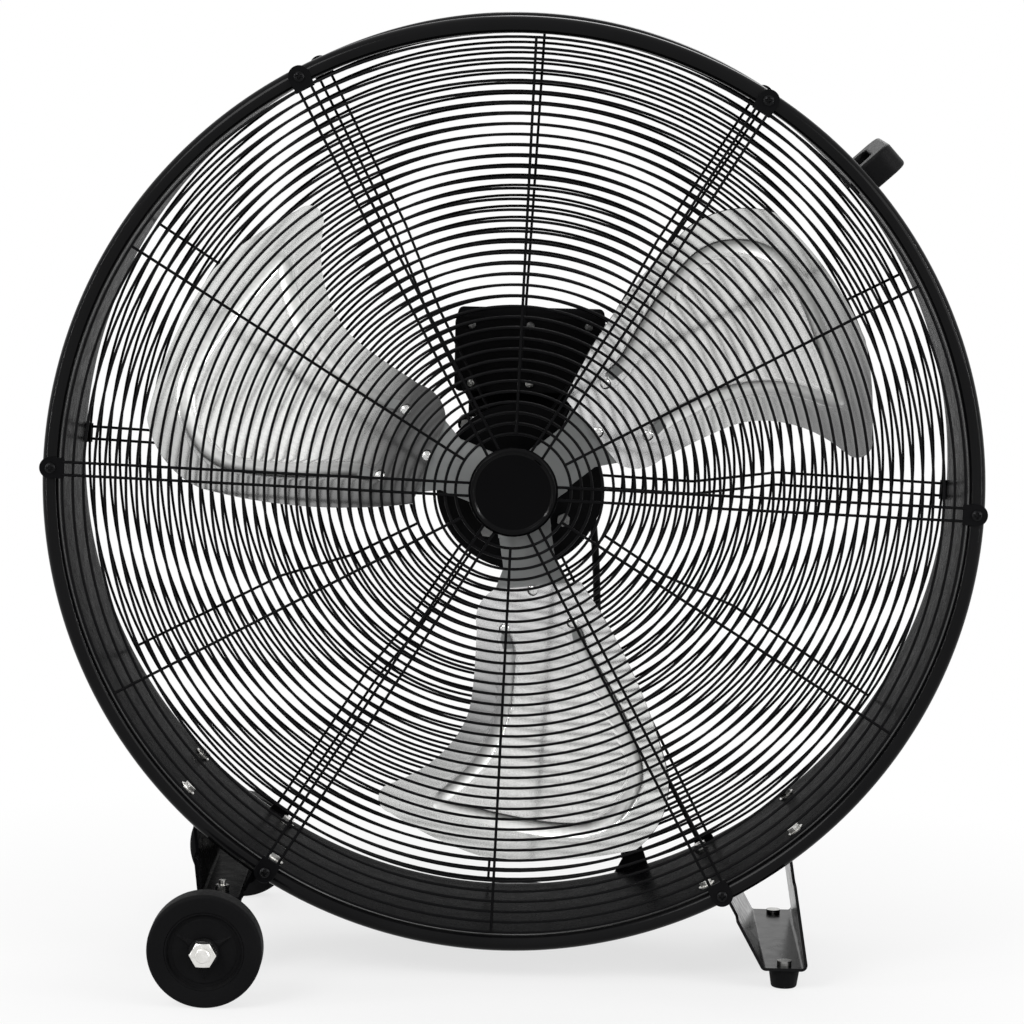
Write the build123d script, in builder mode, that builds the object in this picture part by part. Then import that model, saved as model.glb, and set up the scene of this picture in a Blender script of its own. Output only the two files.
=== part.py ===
"""Drum fan on two wheels and a fixed leg.

Millimetres. The floor is Z = 0, the front with the centre cap faces -Y, and the origin lies on the
floor under the middle of the drum. Angles round the drum run counter-clockwise seen from the front,
from +X.
"""

import math
import os

from build123d import *

# Drum shell
rim_radius = 385.0
floor_gap = 25.0
drum_depth = 200.0
drum_sheet = 1.5
curl_radius = 7.0
curl_slit = 3.0
slit_inset = 0.2

# Fits between parts
hole_gap = 0.1
running_gap = 0.04
press_gap = 0.02
end_play = 0.4
edge_chamfer = 1.0

# Wire grilles
wire = 2.4
ring_first = 47.1
ring_wall_gap = 2.74
ring_count = 38
spoke_count = 6
front_turn = -1.7
rear_turn = -2.6
pair_width = 10.6
pair_start = 30.0
weld_sink = 1.5
tab_width = 18.0
tab_length = 16.0
tab_sheet = 2.0

# Dished middle of the rear grille
dish_floor_radius = 150.0
dish_brim_radius = 225.0
dish_bend = 6.0
dish_ring_gap = 1.0
slope_gap = 0.24

# Screws that hold the grilles
grille_screw_radius = 2.0
grille_screw_length = 10.0
grille_head_radius = 4.25
grille_head_height = 3.0

# Centre cap
cap_radius = 36.6
cap_height = 6.2
cap_sheet = 1.5
cap_bevel = 3.0
cap_boss_radius = 6.0
backplate_radius = 36.0
backplate_sheet = 1.5
cap_screw_radius = 2.0
cap_screw_depth = 7.0
cap_head_radius = 9.0
cap_head_height = 2.5

# Motor, its axis a little beside and below the drum's
motor_x = 4.5
motor_drop = 8.7
motor_radius = 62.0
motor_length = 88.0
motor_split = 46.0
motor_wall = 3.0
motor_end_wall = 5.0
mount_ring_inner = 30.0
landing_gap = 1.5
landing_length = 6.5
mount_ring_sheet = 3.0
mount_bolt_inset = 16.0
mount_bolt_turn = 54.0
motor_bolt_count = 4
shaft_radius = 7.5
shaft_nose = -66.0
shaft_port = 9.0
bearing_radius = 17.5
bearing_width = 11.0
bearing_wall = 4.5
bearing_lip = 1.5
core_outer_gap = 0.1
core_thickness = 13.9
air_gap = 0.7
core_front = 28.0
core_length = 34.0
winding_gap = 2.0
winding_length = 8.0
winding_round = 3.0
ear_reach = 5.0
ear_turn = 45.0
ear_radius = 6.5
ear_length = 10.0
tie_radius = 2.5
tie_head_radius = 4.5
tie_head_height = 3.5

# M6 bolts, nuts and washers
m6_radius = 3.0
m6_across_corners = 5.75
m6_head_height = 4.0
m6_nut_height = 5.0
m6_flange_radius = 7.0
m6_flange_height = 1.0
m6_tail = 4.0

# Blades: a sheet bent round a line that runs along the blade
blade_count = 3
blade_turn = 39.0
blade_sheet = 1.6
blade_bend = 600.0
blade_pitch = 16.0
blade_depth = -42.0
blade_tip = 313.0
tip_start_angle = 10.4
tip_middle_angle = -2.0
tip_end_angle = -14.0
root_high = (79.0, 40.0)
trailing_round = (160.0, 73.5)
shoulder = (245.0, 91.0)
shoulder_round = (284.0, 79.5)
lobe_edge = (283.0, -113.0)
lobe_outside = (258.0, -146.0)
lobe_round = (246.0, -154.0)
lobe_inside = (234.0, -144.0)
hollow_edge = [
    (229.0, -126.0),
    (221.0, -108.0),
    (210.0, -92.0),
    (196.0, -78.0),
    (178.0, -67.0),
    (150.0, -59.0),
]
heel = (110.0, -51.0)
heel_round = (90.0, -46.0)
root_low = (79.0, -32.0)
blade_slab = 200.0

# Spider that carries the blades
hub_radius = 28.0
hub_front = -56.0
hub_rear = -26.0
arm_sheet = 3.0
arm_inner = 12.0
arm_neck = 62.0
arm_shoulder = 96.0
arm_end = 130.0
arm_inner_half = 22.0
arm_outer_half = 40.0
arm_corner = 8.0
rivet_spots = [(82.5, 0.0), (112.5, 29.0), (113.0, -28.0)]
rivet_radius = 2.4
rivet_head_radius = 5.0
rivet_head_height = 2.0
rivet_tail_radius = 4.0
rivet_tail_height = 1.5
rivet_seat = 0.06
set_screw_turn = 96.0
set_screw_depth = -31.0

# Control box on the motor
box_shift = 6.0
box_half_width = 63.0
box_height = 63.0
box_front = 14.0
box_rear = 108.0
box_wall = 2.5
box_corner = 5.0
saddle_half_width = 45.0
saddle_front = 32.0
saddle_rear = 80.0
saddle_rise = 16.0
saddle_drop = 8.0
box_post_radius = 5.0
box_post_inset = 7.0
box_post_side = 14.0
box_post_length = 9.0
box_screw_radius = 2.0
box_screw_length = 9.5
box_screw_head = 4.5
box_screw_head_height = 2.6
saddle_screw_radius = 2.5
saddle_screw_x = 18.0
saddle_screw_y = 62.0
saddle_screw_bite = 4.6
saddle_hole_depth = 16.0
capacitor_radius = 16.0
capacitor_length = 60.0
capacitor_x = -15.0
capacitor_y = 40.0

# Speed switch and knob on the rear of the box
knob_rise = 29.0
knob_radius = 18.0
knob_length = 14.0
knob_gap = 0.5
knob_stem_radius = 3.2
knob_stem_length = 18.0
knob_grip_width = 7.0
knob_grip_height = 5.0
knob_round = 2.0
switch_width = 36.0
switch_depth = 28.0

# Carrying handle
handle_angle = 42.3
handle_width = 23.0
handle_length = 120.0
handle_rise = 42.5
handle_gap_length = 76.0
handle_gap_rise = 26.0
handle_corner = 14.0
handle_gap_corner = 8.0
handle_edge = 3.0
handle_screw_radius = 2.5
handle_screw_length = 15.0
handle_head_radius = 5.5
handle_head_height = 3.0

# Bent sheet legs: bolt angles on the drum, and the flat plate below
leg_sheet = 2.5
leg_overhang = 6.0
leg_bend = 4.0
flange_outer = 9.0
flange_inner = 11.0
rim_clearance = 1.5
leg_bolt_inset = 28.0
notch_reach = 34.0
foot_bolt_angles = (-63.1, -49.6)
foot_plate_turn = -51.34
foot_plate_width = 36.0
foot_height = 16.0
wheel_bolt_angles = (-135.8, -121.2)
wheel_plate_turn = -129.115
wheel_plate_width = 34.0
wheel_plate_top = 68.0

# Rubber feet
foot_inset = 14.0
foot_top_radius = 13.0
foot_bottom_radius = 10.5
foot_round = 2.0
foot_screw_depth = 11.0
foot_head_radius = 6.0
foot_head_height = 3.5

# Axle, hanger and wheels
wheel_radius = 46.6
wheel_width = 25.0
wheel_face = 209.5
tyre_inner = 32.0
tyre_round = 3.5
web_depth = 6.0
web_outer = 28.0
wheel_hub = 13.0
axle_shift = 4.2
axle_radius = 6.0
axle_overhang = 3.0
hanger_sheet = 3.0
hanger_inset = 3.0
hanger_drop = 15.0
hanger_bend = 5.0
hanger_corner = 11.0
hanger_bolt_inset = 21.0
sleeve_radius = 10.0
washer_radius = 12.0
washer_sheet = 1.6
nut_across_corners = 10.97
nut_height = 10.0
nut_chamfer_angle = 30.0
nut_cut_reach = 1.0

# Mains cord: gland, hanging run and clip
cord_radius = 3.25
gland_beside = 55.0
gland_y = 98.0
gland_length = 30.0
gland_top_radius = 9.0
gland_collar = 8.0
gland_end_radius = 4.6
arc_share = 0.45
clip_sheet = 2.0
clip_turns = (-76.2, -70.84)
clip_depth = 35.2
clip_round = 3.0
clip_loop_turn = -73.87
clip_reach = 14.0
clip_low = 60.0
clip_height = 10.0
clip_wall = 2.4
clip_arm = 6.0

# Coil of spare cord on the floor, its tie and the plug
coil_centre = (10.0, 162.0)
coil_first_radius = 48.0
coil_step = 7.0
coil_layer_turns = 2
coil_samples = 720
coil_gap_reach = 60.0
tie_sheet = 1.0
tie_width = 5.0
tie_gap = 0.4
tie_floor_gap = 0.15
plug_lead = 36.0
plug_neck_length = 14.0
plug_neck_radius = 5.5
plug_body_length = 30.0
plug_body_width = 34.0
plug_body_round = 5.0
plug_pin_radius = 2.4
plug_pin_length = 19.0
plug_pin_spacing = 19.0

# Sizes that follow from those above
wall_inner = rim_radius - 2 * curl_radius
wall_outer = wall_inner + drum_sheet
curl_centre = rim_radius - curl_radius
half_depth = drum_depth / 2
axis_height = rim_radius + floor_gap
curl_depth = half_depth - curl_radius
ring_pitch = (wall_inner - ring_wall_gap - ring_first) / (ring_count - 1)
ring_radii = [ring_first + ring_pitch * count for count in range(ring_count)]
ring_last = ring_radii[-1]
ring_depth = half_depth - wire / 2
single_depth = ring_depth + wire - weld_sink
pair_depth = half_depth + wire / 2
tab_face = half_depth + tab_sheet
half_pitch = 180 / spoke_count
dish_slope = (pair_depth - wire / 2) / (dish_brim_radius - dish_floor_radius)
slope_cosine = 1 / math.hypot(1, dish_slope)
slope_sine = dish_slope * slope_cosine
slope_drop = (wire / 2 * (1 + slope_sine + slope_cosine) + slope_gap) / slope_cosine
motor_height = axis_height - motor_drop
motor_bore = motor_radius - motor_wall
core_inner = motor_bore - core_outer_gap - core_thickness
winding_inner = core_inner + winding_gap
winding_outer = motor_bore - winding_gap
ear_circle = motor_radius + ear_reach
mount_bolt_circle = motor_radius - mount_bolt_inset
spoke_landing = motor_radius + landing_gap
mount_ring_outer = spoke_landing + landing_length
motor_reach = mount_ring_outer + math.hypot(motor_x, motor_drop) + wire / 2 + dish_ring_gap
dish_first_ring = sum(radius < motor_reach for radius in ring_radii)
dish_ring_count = sum(radius < dish_brim_radius + dish_bend + wire for radius in ring_radii)
box_x = motor_x + box_shift
box_low = motor_radius + saddle_rise
box_high = box_low + box_height
saddle_low = motor_radius - saddle_drop
saddle_screw_tip = motor_radius - saddle_screw_bite
knob_high = box_low + knob_rise
gland_x = motor_x + gland_beside
bend_along = -blade_bend * math.sin(math.radians(blade_pitch))
bend_depth = blade_depth - blade_bend * math.cos(math.radians(blade_pitch))
fan_angles = [blade_turn + 360 / blade_count * count for count in range(blade_count)]
leg_half_depth = half_depth + leg_overhang
flange_half_depth = half_depth - 2 * curl_radius - rim_clearance
leg_bolt_y = half_depth - leg_bolt_inset
foot_x = wall_outer * math.cos(math.radians(foot_plate_turn))
foot_plate_x = (foot_x - foot_plate_width / 2, foot_x + foot_plate_width / 2)
foot_y = leg_half_depth - foot_inset
hanger_x = wall_outer * math.cos(math.radians(wheel_plate_turn))
wheel_plate_x = (hanger_x - wheel_plate_width / 2, hanger_x + wheel_plate_width / 2)
axle_x = hanger_x - axle_shift
hanger_half_length = leg_half_depth - hanger_inset
hanger_bolt_y = hanger_half_length - hanger_bolt_inset
axle_height = wheel_radius
plate_rear = backplate_sheet - half_depth
cap_face = half_depth + wire
hanger_top = wheel_plate_top - leg_sheet
coil_low = cord_radius + tie_sheet + tie_floor_gap
coil_high = coil_low + coil_step
centre = Vector(0, 0, axis_height)
motor_centre = Vector(motor_x, 0, motor_height)
drum_axis = Axis((0, 0, axis_height), (0, 1, 0))
motor_axis = Axis((motor_x, 0, motor_height), (0, 1, 0))
axle_line = Axis((axle_x, 0, axle_height), (0, 1, 0))
section = Plane.XY.offset(axis_height)
motor_section = Plane(origin=(motor_x, 0, motor_height))
axle_section = Plane(origin=(axle_x, 0, axle_height))


def outward(angle):
    """Unit vector away from the drum's axis."""
    turn = math.radians(angle)
    return Vector(math.cos(turn), 0, math.sin(turn))


def round_about(angle):
    """Unit vector round the drum's axis."""
    turn = math.radians(angle)
    return Vector(-math.sin(turn), 0, math.cos(turn))


def face_plane(depth, angle=0):
    """Plane across the drum at this depth, facing the front, its x axis at this angle."""
    return Plane(origin=(0, depth, axis_height), x_dir=outward(angle), z_dir=(0, -1, 0))


def motor_plane(depth, angle=0):
    """Plane across the motor's axis at this depth, facing the front, its x axis at this angle."""
    return Plane(origin=(motor_x, depth, motor_height), x_dir=outward(angle), z_dir=(0, -1, 0))


def box_plane(depth):
    """Plane across the control box at this depth, facing the front, level with the motor's axis."""
    return Plane(origin=(box_x, depth, motor_height), x_dir=(1, 0, 0), z_dir=(0, -1, 0))


def landing_radius(angle, offset):
    """Radius at which a rear wire, this far beside its spoke's line, starts on the motor's ring."""
    along = (motor_centre - centre).dot(outward(angle))
    across = (motor_centre - centre).dot(round_about(angle))
    return along + math.sqrt(spoke_landing**2 - (offset - across) ** 2)


def spoke_plane(angle, offset=0):
    """Plane through the drum's axis: x is the radius and y the depth."""
    return Plane(centre + round_about(angle) * offset, x_dir=outward(angle), z_dir=round_about(angle))


def wall_plane(angle, radius, depth, way=1, middle=centre):
    """Plane square to a radius, facing outward, or inward with way = -1."""
    spot = middle + outward(angle) * radius + Vector(0, depth, 0)
    return Plane(spot, x_dir=(0, 1, 0), z_dir=outward(angle) * way)


def floor_plane(x, y, height, way=1):
    """Level plane at this place, facing up, or down with way = -1."""
    return Plane(origin=(x, y, height), x_dir=(1, 0, 0), z_dir=(0, 0, way))


def chord_plane(angle):
    """Plane square to a blade's length: x runs round the drum and y is the depth."""
    return Plane(motor_centre, x_dir=round_about(angle), z_dir=outward(angle) * -1)


def rivet_plane(angle, spot, way=1):
    """Plane on a blade's front face at (length, width), facing the front or the rear."""
    length, width = spot
    depth = bend_depth + math.sqrt(blade_bend**2 - (width - bend_along) ** 2)
    normal = round_about(angle) * (bend_along - width) + Vector(0, bend_depth - depth, 0)
    place = motor_centre + outward(angle) * length + round_about(angle) * width + Vector(0, depth, 0)
    return Plane(place, x_dir=outward(angle), z_dir=normal.normalized() * way)


def on_tip(angle):
    """Point of the blade's tip circle."""
    turn = math.radians(angle)
    return (blade_tip * math.cos(turn), blade_tip * math.sin(turn))


def dish_depth(radius, flat_shift, slope_shift):
    """Depth of a rear wire that runs this far in front of the double spokes."""
    slope = wire / 2 + (radius - dish_floor_radius) * dish_slope - slope_shift
    return min(max(wire / 2 - flat_shift, slope), pair_depth - flat_shift)


def dish_route(start, end, flat_shift, slope_shift):
    """Corners of a rear spoke: level floor, slope and level brim."""
    move = (slope_shift - flat_shift) / dish_slope
    radii = [start, dish_floor_radius + move, dish_brim_radius + move, end]
    return [(radius, dish_depth(radius, flat_shift, slope_shift)) for radius in radii]


def leg_route(bolt_angles, plate_x, plate_height):
    """Middle line of a leg's sheet: flange, wall, plate, wall and flange."""
    flange_radius = wall_outer + leg_sheet / 2
    route = []
    for angle, ends in zip(bolt_angles, ((-flange_outer, flange_inner), (-flange_inner, flange_outer))):
        for end in ends:
            spot = outward(angle) * flange_radius + round_about(angle) * end
            route.append((spot.X, spot.Z))
    plate = [(x, plate_height - axis_height) for x in plate_x]
    return route[:2] + plate + route[2:]


def bend_radii(points):
    """Largest even bend at each inner point of a cord's route."""
    spots = [Vector(*point) for point in points]
    radii = []
    for before, here, after in zip(spots, spots[1:], spots[2:]):
        turn = (here - before).get_angle(after - here)
        run = min((here - before).length, (after - here).length)
        radii.append(arc_share * run / math.tan(math.radians(turn / 2)))
    return radii


leg_bolt_spots = [
    (angle, depth)
    for angle in foot_bolt_angles + wheel_bolt_angles
    for depth in (-leg_bolt_y, leg_bolt_y)
]
handle_screw_y = (handle_length + handle_gap_length) / 4

# Drum shell: rolled sheet with a curl along each rim
with BuildPart() as drum_shell:
    with BuildSketch(section):
        with Locations((wall_inner + drum_sheet / 2, 0)):
            Rectangle(drum_sheet, 2 * curl_depth)
        with Locations((curl_centre, curl_depth), (curl_centre, -curl_depth)):
            Circle(curl_radius)
            Circle(curl_radius - drum_sheet, mode=Mode.SUBTRACT)
        slit_radius = wall_outer + slit_inset + curl_slit / 2
        slit_depth = curl_depth - curl_radius + curl_slit / 2
        with Locations((slit_radius, slit_depth), (slit_radius, -slit_depth)):
            Rectangle(curl_slit, 2 * curl_slit, mode=Mode.SUBTRACT)
    revolve(axis=drum_axis)
    leg_holes = [wall_plane(angle, wall_inner - drum_sheet, depth) for angle, depth in leg_bolt_spots]
    with BuildSketch(*leg_holes):
        Circle(m6_radius + hole_gap)
    extrude(amount=3 * drum_sheet, mode=Mode.SUBTRACT)
    with BuildSketch(
        wall_plane(handle_angle, wall_inner - drum_sheet, -handle_screw_y),
        wall_plane(handle_angle, wall_inner - drum_sheet, handle_screw_y),
    ):
        Circle(handle_screw_radius + hole_gap)
    extrude(amount=3 * drum_sheet, mode=Mode.SUBTRACT)
    with BuildSketch(face_plane(-half_depth)):
        with PolarLocations(curl_centre, spoke_count, start_angle=front_turn):
            Circle(grille_screw_radius + hole_gap)
    extrude(amount=-2 * drum_sheet, mode=Mode.SUBTRACT)
    with BuildSketch(face_plane(half_depth)):
        with PolarLocations(curl_centre, spoke_count, start_angle=rear_turn):
            Circle(grille_screw_radius + hole_gap)
    extrude(amount=2 * drum_sheet, mode=Mode.SUBTRACT)

# Front grille: rings welded to six single spokes
with BuildPart() as front_grille:
    with BuildSketch(section):
        with Locations(*[(radius, -ring_depth) for radius in ring_radii]):
            Rectangle(wire, wire)
    revolve(axis=drum_axis)
    with BuildSketch(face_plane(wire / 2 - single_depth)):
        with PolarLocations((ring_first + ring_last) / 2, spoke_count, start_angle=front_turn + half_pitch):
            Rectangle(ring_last - ring_first, wire)
    extrude(amount=wire)

# Front double spokes with a screw tab at the rim
with BuildPart() as front_grille_spokes:
    pair_length = ring_last - pair_start
    with BuildSketch(face_plane(-half_depth)):
        with PolarLocations(pair_start + pair_length / 2, spoke_count, start_angle=front_turn):
            with Locations((0, pair_width / 2), (0, -pair_width / 2)):
                Rectangle(pair_length, wire)
    extrude(amount=wire)
    with BuildSketch(face_plane(-half_depth)):
        with PolarLocations(curl_centre, spoke_count, start_angle=front_turn):
            Circle(tab_width / 2)
            with Locations((-tab_length / 2, 0)):
                Rectangle(tab_length, tab_width)
        with PolarLocations(curl_centre, spoke_count, start_angle=front_turn):
            Circle(grille_screw_radius + hole_gap, mode=Mode.SUBTRACT)
    extrude(amount=tab_sheet)

# Front grille screws
with BuildPart() as front_grille_screws:
    with BuildSketch(face_plane(-tab_face)):
        with PolarLocations(curl_centre, spoke_count, start_angle=front_turn):
            Circle(grille_head_radius)
    extrude(amount=grille_head_height)
    with BuildSketch(face_plane(-tab_face)):
        with PolarLocations(curl_centre, spoke_count, start_angle=front_turn):
            Circle(grille_screw_radius)
    extrude(amount=-grille_screw_length)

# Centre cap: shallow cup with a boss that passes between the inner ends of the double spokes
with BuildPart() as centre_cap:
    cap_front = -cap_face - cap_height
    with BuildSketch(section):
        with BuildLine():
            Polyline(
                (0, cap_front),
                (cap_radius - cap_bevel, cap_front),
                (cap_radius, cap_front + cap_bevel),
                (cap_radius, -cap_face),
                (cap_radius - cap_sheet, -cap_face),
                (cap_radius - cap_sheet, cap_front + cap_bevel),
                (cap_radius - cap_bevel - cap_sheet / 2, cap_front + cap_sheet),
                (cap_boss_radius, cap_front + cap_sheet),
                (cap_boss_radius, plate_rear),
                (0, plate_rear),
                close=True,
            )
        make_face()
    revolve(axis=drum_axis)
    with BuildSketch(face_plane(plate_rear)):
        Circle(cap_screw_radius + press_gap)
    extrude(amount=cap_screw_depth + hole_gap, mode=Mode.SUBTRACT)

# Backplate behind the cap, which clamps the inner ends of the double spokes
with BuildPart() as cap_backplate:
    with BuildSketch(face_plane(-half_depth)):
        Circle(backplate_radius)
        Circle(cap_boss_radius + hole_gap, mode=Mode.SUBTRACT)
    extrude(amount=-backplate_sheet)

# Screw that holds the cap from behind
with BuildPart() as cap_screw:
    with BuildSketch(face_plane(plate_rear)):
        Circle(cap_head_radius)
    extrude(amount=-cap_head_height)
    with BuildSketch(face_plane(plate_rear)):
        Circle(cap_screw_radius)
    extrude(amount=cap_screw_depth)

# Rear grille: flat outer rings on six short spokes
with BuildPart() as rear_grille:
    with BuildSketch(section):
        with Locations(*[(radius, ring_depth) for radius in ring_radii[dish_ring_count:]]):
            Rectangle(wire, wire)
    revolve(axis=drum_axis)
    short_start = ring_radii[dish_ring_count]
    with BuildSketch(face_plane(single_depth + wire / 2)):
        with PolarLocations((short_start + ring_last) / 2, spoke_count, start_angle=rear_turn + half_pitch):
            Rectangle(ring_last - short_start, wire)
    extrude(amount=wire)

# Dished middle of the rear grille
with BuildPart() as rear_dish:
    with BuildSketch(section):
        dish_rings = ring_radii[dish_first_ring:dish_ring_count]
        with Locations(*[(radius, dish_depth(radius, wire, slope_drop)) for radius in dish_rings]):
            Rectangle(wire, wire)
    revolve(axis=drum_axis)
    single_drop = slope_drop - (wire - weld_sink) / slope_cosine
    for count in range(spoke_count):
        with BuildSketch(spoke_plane(rear_turn + half_pitch + 360 / spoke_count * count)):
            with BuildLine():
                FilletPolyline(
                    *dish_route(dish_rings[0], short_start - wire, weld_sink, single_drop),
                    radius=dish_bend,
                )
            trace(line_width=wire)
    extrude(amount=wire / 2, both=True)

# Rear double spokes with a screw tab at the rim
with BuildPart() as rear_grille_spokes:
    for count in range(spoke_count):
        turn = rear_turn + 360 / spoke_count * count
        for offset in (-pair_width / 2, pair_width / 2):
            with BuildSketch(spoke_plane(turn, offset)):
                with BuildLine():
                    start = landing_radius(turn, offset)
                    FilletPolyline(*dish_route(start, ring_last, 0, 0), radius=dish_bend)
                trace(line_width=wire)
    extrude(amount=wire / 2, both=True)
    with BuildSketch(face_plane(half_depth)):
        with PolarLocations(curl_centre, spoke_count, start_angle=rear_turn):
            Circle(tab_width / 2)
            with Locations((-tab_length / 2, 0)):
                Rectangle(tab_length, tab_width)
        with PolarLocations(curl_centre, spoke_count, start_angle=rear_turn):
            Circle(grille_screw_radius + hole_gap, mode=Mode.SUBTRACT)
    extrude(amount=-tab_sheet)

# Rear grille screws
with BuildPart() as rear_grille_screws:
    with BuildSketch(face_plane(tab_face)):
        with PolarLocations(curl_centre, spoke_count, start_angle=rear_turn):
            Circle(grille_head_radius)
    extrude(amount=-grille_head_height)
    with BuildSketch(face_plane(tab_face)):
        with PolarLocations(curl_centre, spoke_count, start_angle=rear_turn):
            Circle(grille_screw_radius)
    extrude(amount=grille_screw_length)

# Ring plate that joins the rear spokes to the motor
with BuildPart() as motor_mount_ring:
    with BuildSketch(motor_plane(0)):
        Circle(mount_ring_outer)
        Circle(mount_ring_inner, mode=Mode.SUBTRACT)
        with PolarLocations(mount_bolt_circle, motor_bolt_count, start_angle=mount_bolt_turn):
            Circle(m6_radius + hole_gap, mode=Mode.SUBTRACT)
    extrude(amount=mount_ring_sheet)

# Bolts that hold the motor on the ring
with BuildPart() as motor_mount_bolts:
    with BuildSketch(motor_plane(-mount_ring_sheet)):
        with PolarLocations(mount_bolt_circle, motor_bolt_count, start_angle=mount_bolt_turn):
            RegularPolygon(m6_across_corners, 6)
    extrude(amount=m6_head_height)
    with BuildSketch(motor_plane(-mount_ring_sheet)):
        with PolarLocations(mount_bolt_circle, motor_bolt_count, start_angle=mount_bolt_turn):
            Circle(m6_radius)
    extrude(amount=-mount_ring_sheet - motor_end_wall)

# Front half of the motor housing, with a bearing seat and ears for the tie bolts
bearing_seat = bearing_radius + press_gap
front_bearing_y = motor_end_wall + bearing_lip
rear_bearing_y = motor_length - motor_end_wall - bearing_lip - bearing_width
with BuildPart() as motor_front_cover:
    with BuildSketch(motor_section):
        with BuildLine():
            Polyline(
                (shaft_port, 0),
                (motor_radius, 0),
                (motor_radius, motor_split),
                (motor_bore, motor_split),
                (motor_bore, motor_end_wall),
                (bearing_seat + bearing_wall, motor_end_wall),
                (bearing_seat + bearing_wall, front_bearing_y + bearing_width),
                (bearing_seat, front_bearing_y + bearing_width),
                (bearing_seat, front_bearing_y),
                (shaft_port, front_bearing_y),
                close=True,
            )
        make_face()
    revolve(axis=motor_axis)
    with BuildSketch(motor_plane(motor_split)):
        with PolarLocations(ear_circle, motor_bolt_count, start_angle=ear_turn):
            Circle(ear_radius)
        Circle(motor_radius - motor_wall / 2, mode=Mode.SUBTRACT)
        with PolarLocations(ear_circle, motor_bolt_count, start_angle=ear_turn):
            Circle(tie_radius + hole_gap, mode=Mode.SUBTRACT)
    extrude(amount=ear_length)
    with BuildSketch(motor_plane(0)):
        with PolarLocations(mount_bolt_circle, motor_bolt_count, start_angle=mount_bolt_turn):
            Circle(m6_radius + hole_gap)
    extrude(amount=-motor_end_wall, mode=Mode.SUBTRACT)

# Rear half of the motor housing
with BuildPart() as motor_rear_cover:
    with BuildSketch(motor_section):
        with BuildLine():
            Polyline(
                (0, motor_length),
                (motor_radius, motor_length),
                (motor_radius, motor_split),
                (motor_bore, motor_split),
                (motor_bore, motor_length - motor_end_wall),
                (bearing_seat + bearing_wall, motor_length - motor_end_wall),
                (bearing_seat + bearing_wall, rear_bearing_y),
                (bearing_seat, rear_bearing_y),
                (bearing_seat, rear_bearing_y + bearing_width),
                (0, rear_bearing_y + bearing_width),
                close=True,
            )
        make_face()
    revolve(axis=motor_axis)
    with BuildSketch(motor_plane(motor_split)):
        with PolarLocations(ear_circle, motor_bolt_count, start_angle=ear_turn):
            Circle(ear_radius)
        Circle(motor_radius - motor_wall / 2, mode=Mode.SUBTRACT)
        with PolarLocations(ear_circle, motor_bolt_count, start_angle=ear_turn):
            Circle(tie_radius + hole_gap, mode=Mode.SUBTRACT)
    extrude(amount=-ear_length)
    saddle_screw_spots = [(motor_x + side * saddle_screw_x, saddle_screw_y) for side in (-1, 1)]
    with BuildSketch(*[floor_plane(x, y, motor_height + motor_radius) for x, y in saddle_screw_spots]):
        Circle(saddle_screw_radius + hole_gap)
    extrude(amount=-saddle_hole_depth, mode=Mode.SUBTRACT)

# Tie bolts through the ears, each with its nut
with BuildPart() as motor_tie_bolts:
    with BuildSketch(motor_plane(motor_split + ear_length)):
        with PolarLocations(ear_circle, motor_bolt_count, start_angle=ear_turn):
            Circle(tie_head_radius)
    extrude(amount=-tie_head_height)
    with BuildSketch(motor_plane(motor_split - ear_length)):
        with PolarLocations(ear_circle, motor_bolt_count, start_angle=ear_turn):
            RegularPolygon(tie_head_radius, 6)
    extrude(amount=tie_head_height)
    with BuildSketch(motor_plane(motor_split + ear_length)):
        with PolarLocations(ear_circle, motor_bolt_count, start_angle=ear_turn):
            Circle(tie_radius)
    extrude(amount=2 * ear_length)

# Stator core, a ring of laminations
with BuildPart() as stator_core:
    with BuildSketch(motor_plane(core_front)):
        Circle(motor_bore - core_outer_gap)
        Circle(core_inner, mode=Mode.SUBTRACT)
    extrude(amount=-core_length)

# Winding heads at both ends of the core
with BuildPart() as stator_windings:
    with BuildSketch(motor_section):
        head_middle = (winding_inner + winding_outer) / 2
        with Locations(
            (head_middle, core_front - winding_length / 2),
            (head_middle, core_front + core_length + winding_length / 2),
        ):
            RectangleRounded(winding_outer - winding_inner, winding_length, winding_round)
    revolve(axis=motor_axis)

# Ball bearings at both ends of the shaft
with BuildPart() as motor_bearings:
    for start in (front_bearing_y, rear_bearing_y):
        with BuildSketch(motor_plane(start)):
            Circle(bearing_radius)
            Circle(shaft_radius + running_gap, mode=Mode.SUBTRACT)
        extrude(amount=-bearing_width)

# Motor shaft
with BuildPart() as motor_shaft:
    with BuildSketch(motor_plane(rear_bearing_y + bearing_width - end_play)):
        Circle(shaft_radius)
    extrude(amount=rear_bearing_y + bearing_width - end_play - shaft_nose)
    chamfer(motor_shaft.edges().group_by(Axis.Y)[0], length=edge_chamfer)

# Rotor on the shaft inside the core
with BuildPart() as motor_rotor:
    with BuildSketch(motor_plane(core_front)):
        Circle(core_inner - air_gap)
        Circle(shaft_radius + press_gap, mode=Mode.SUBTRACT)
    extrude(amount=-core_length)

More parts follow.
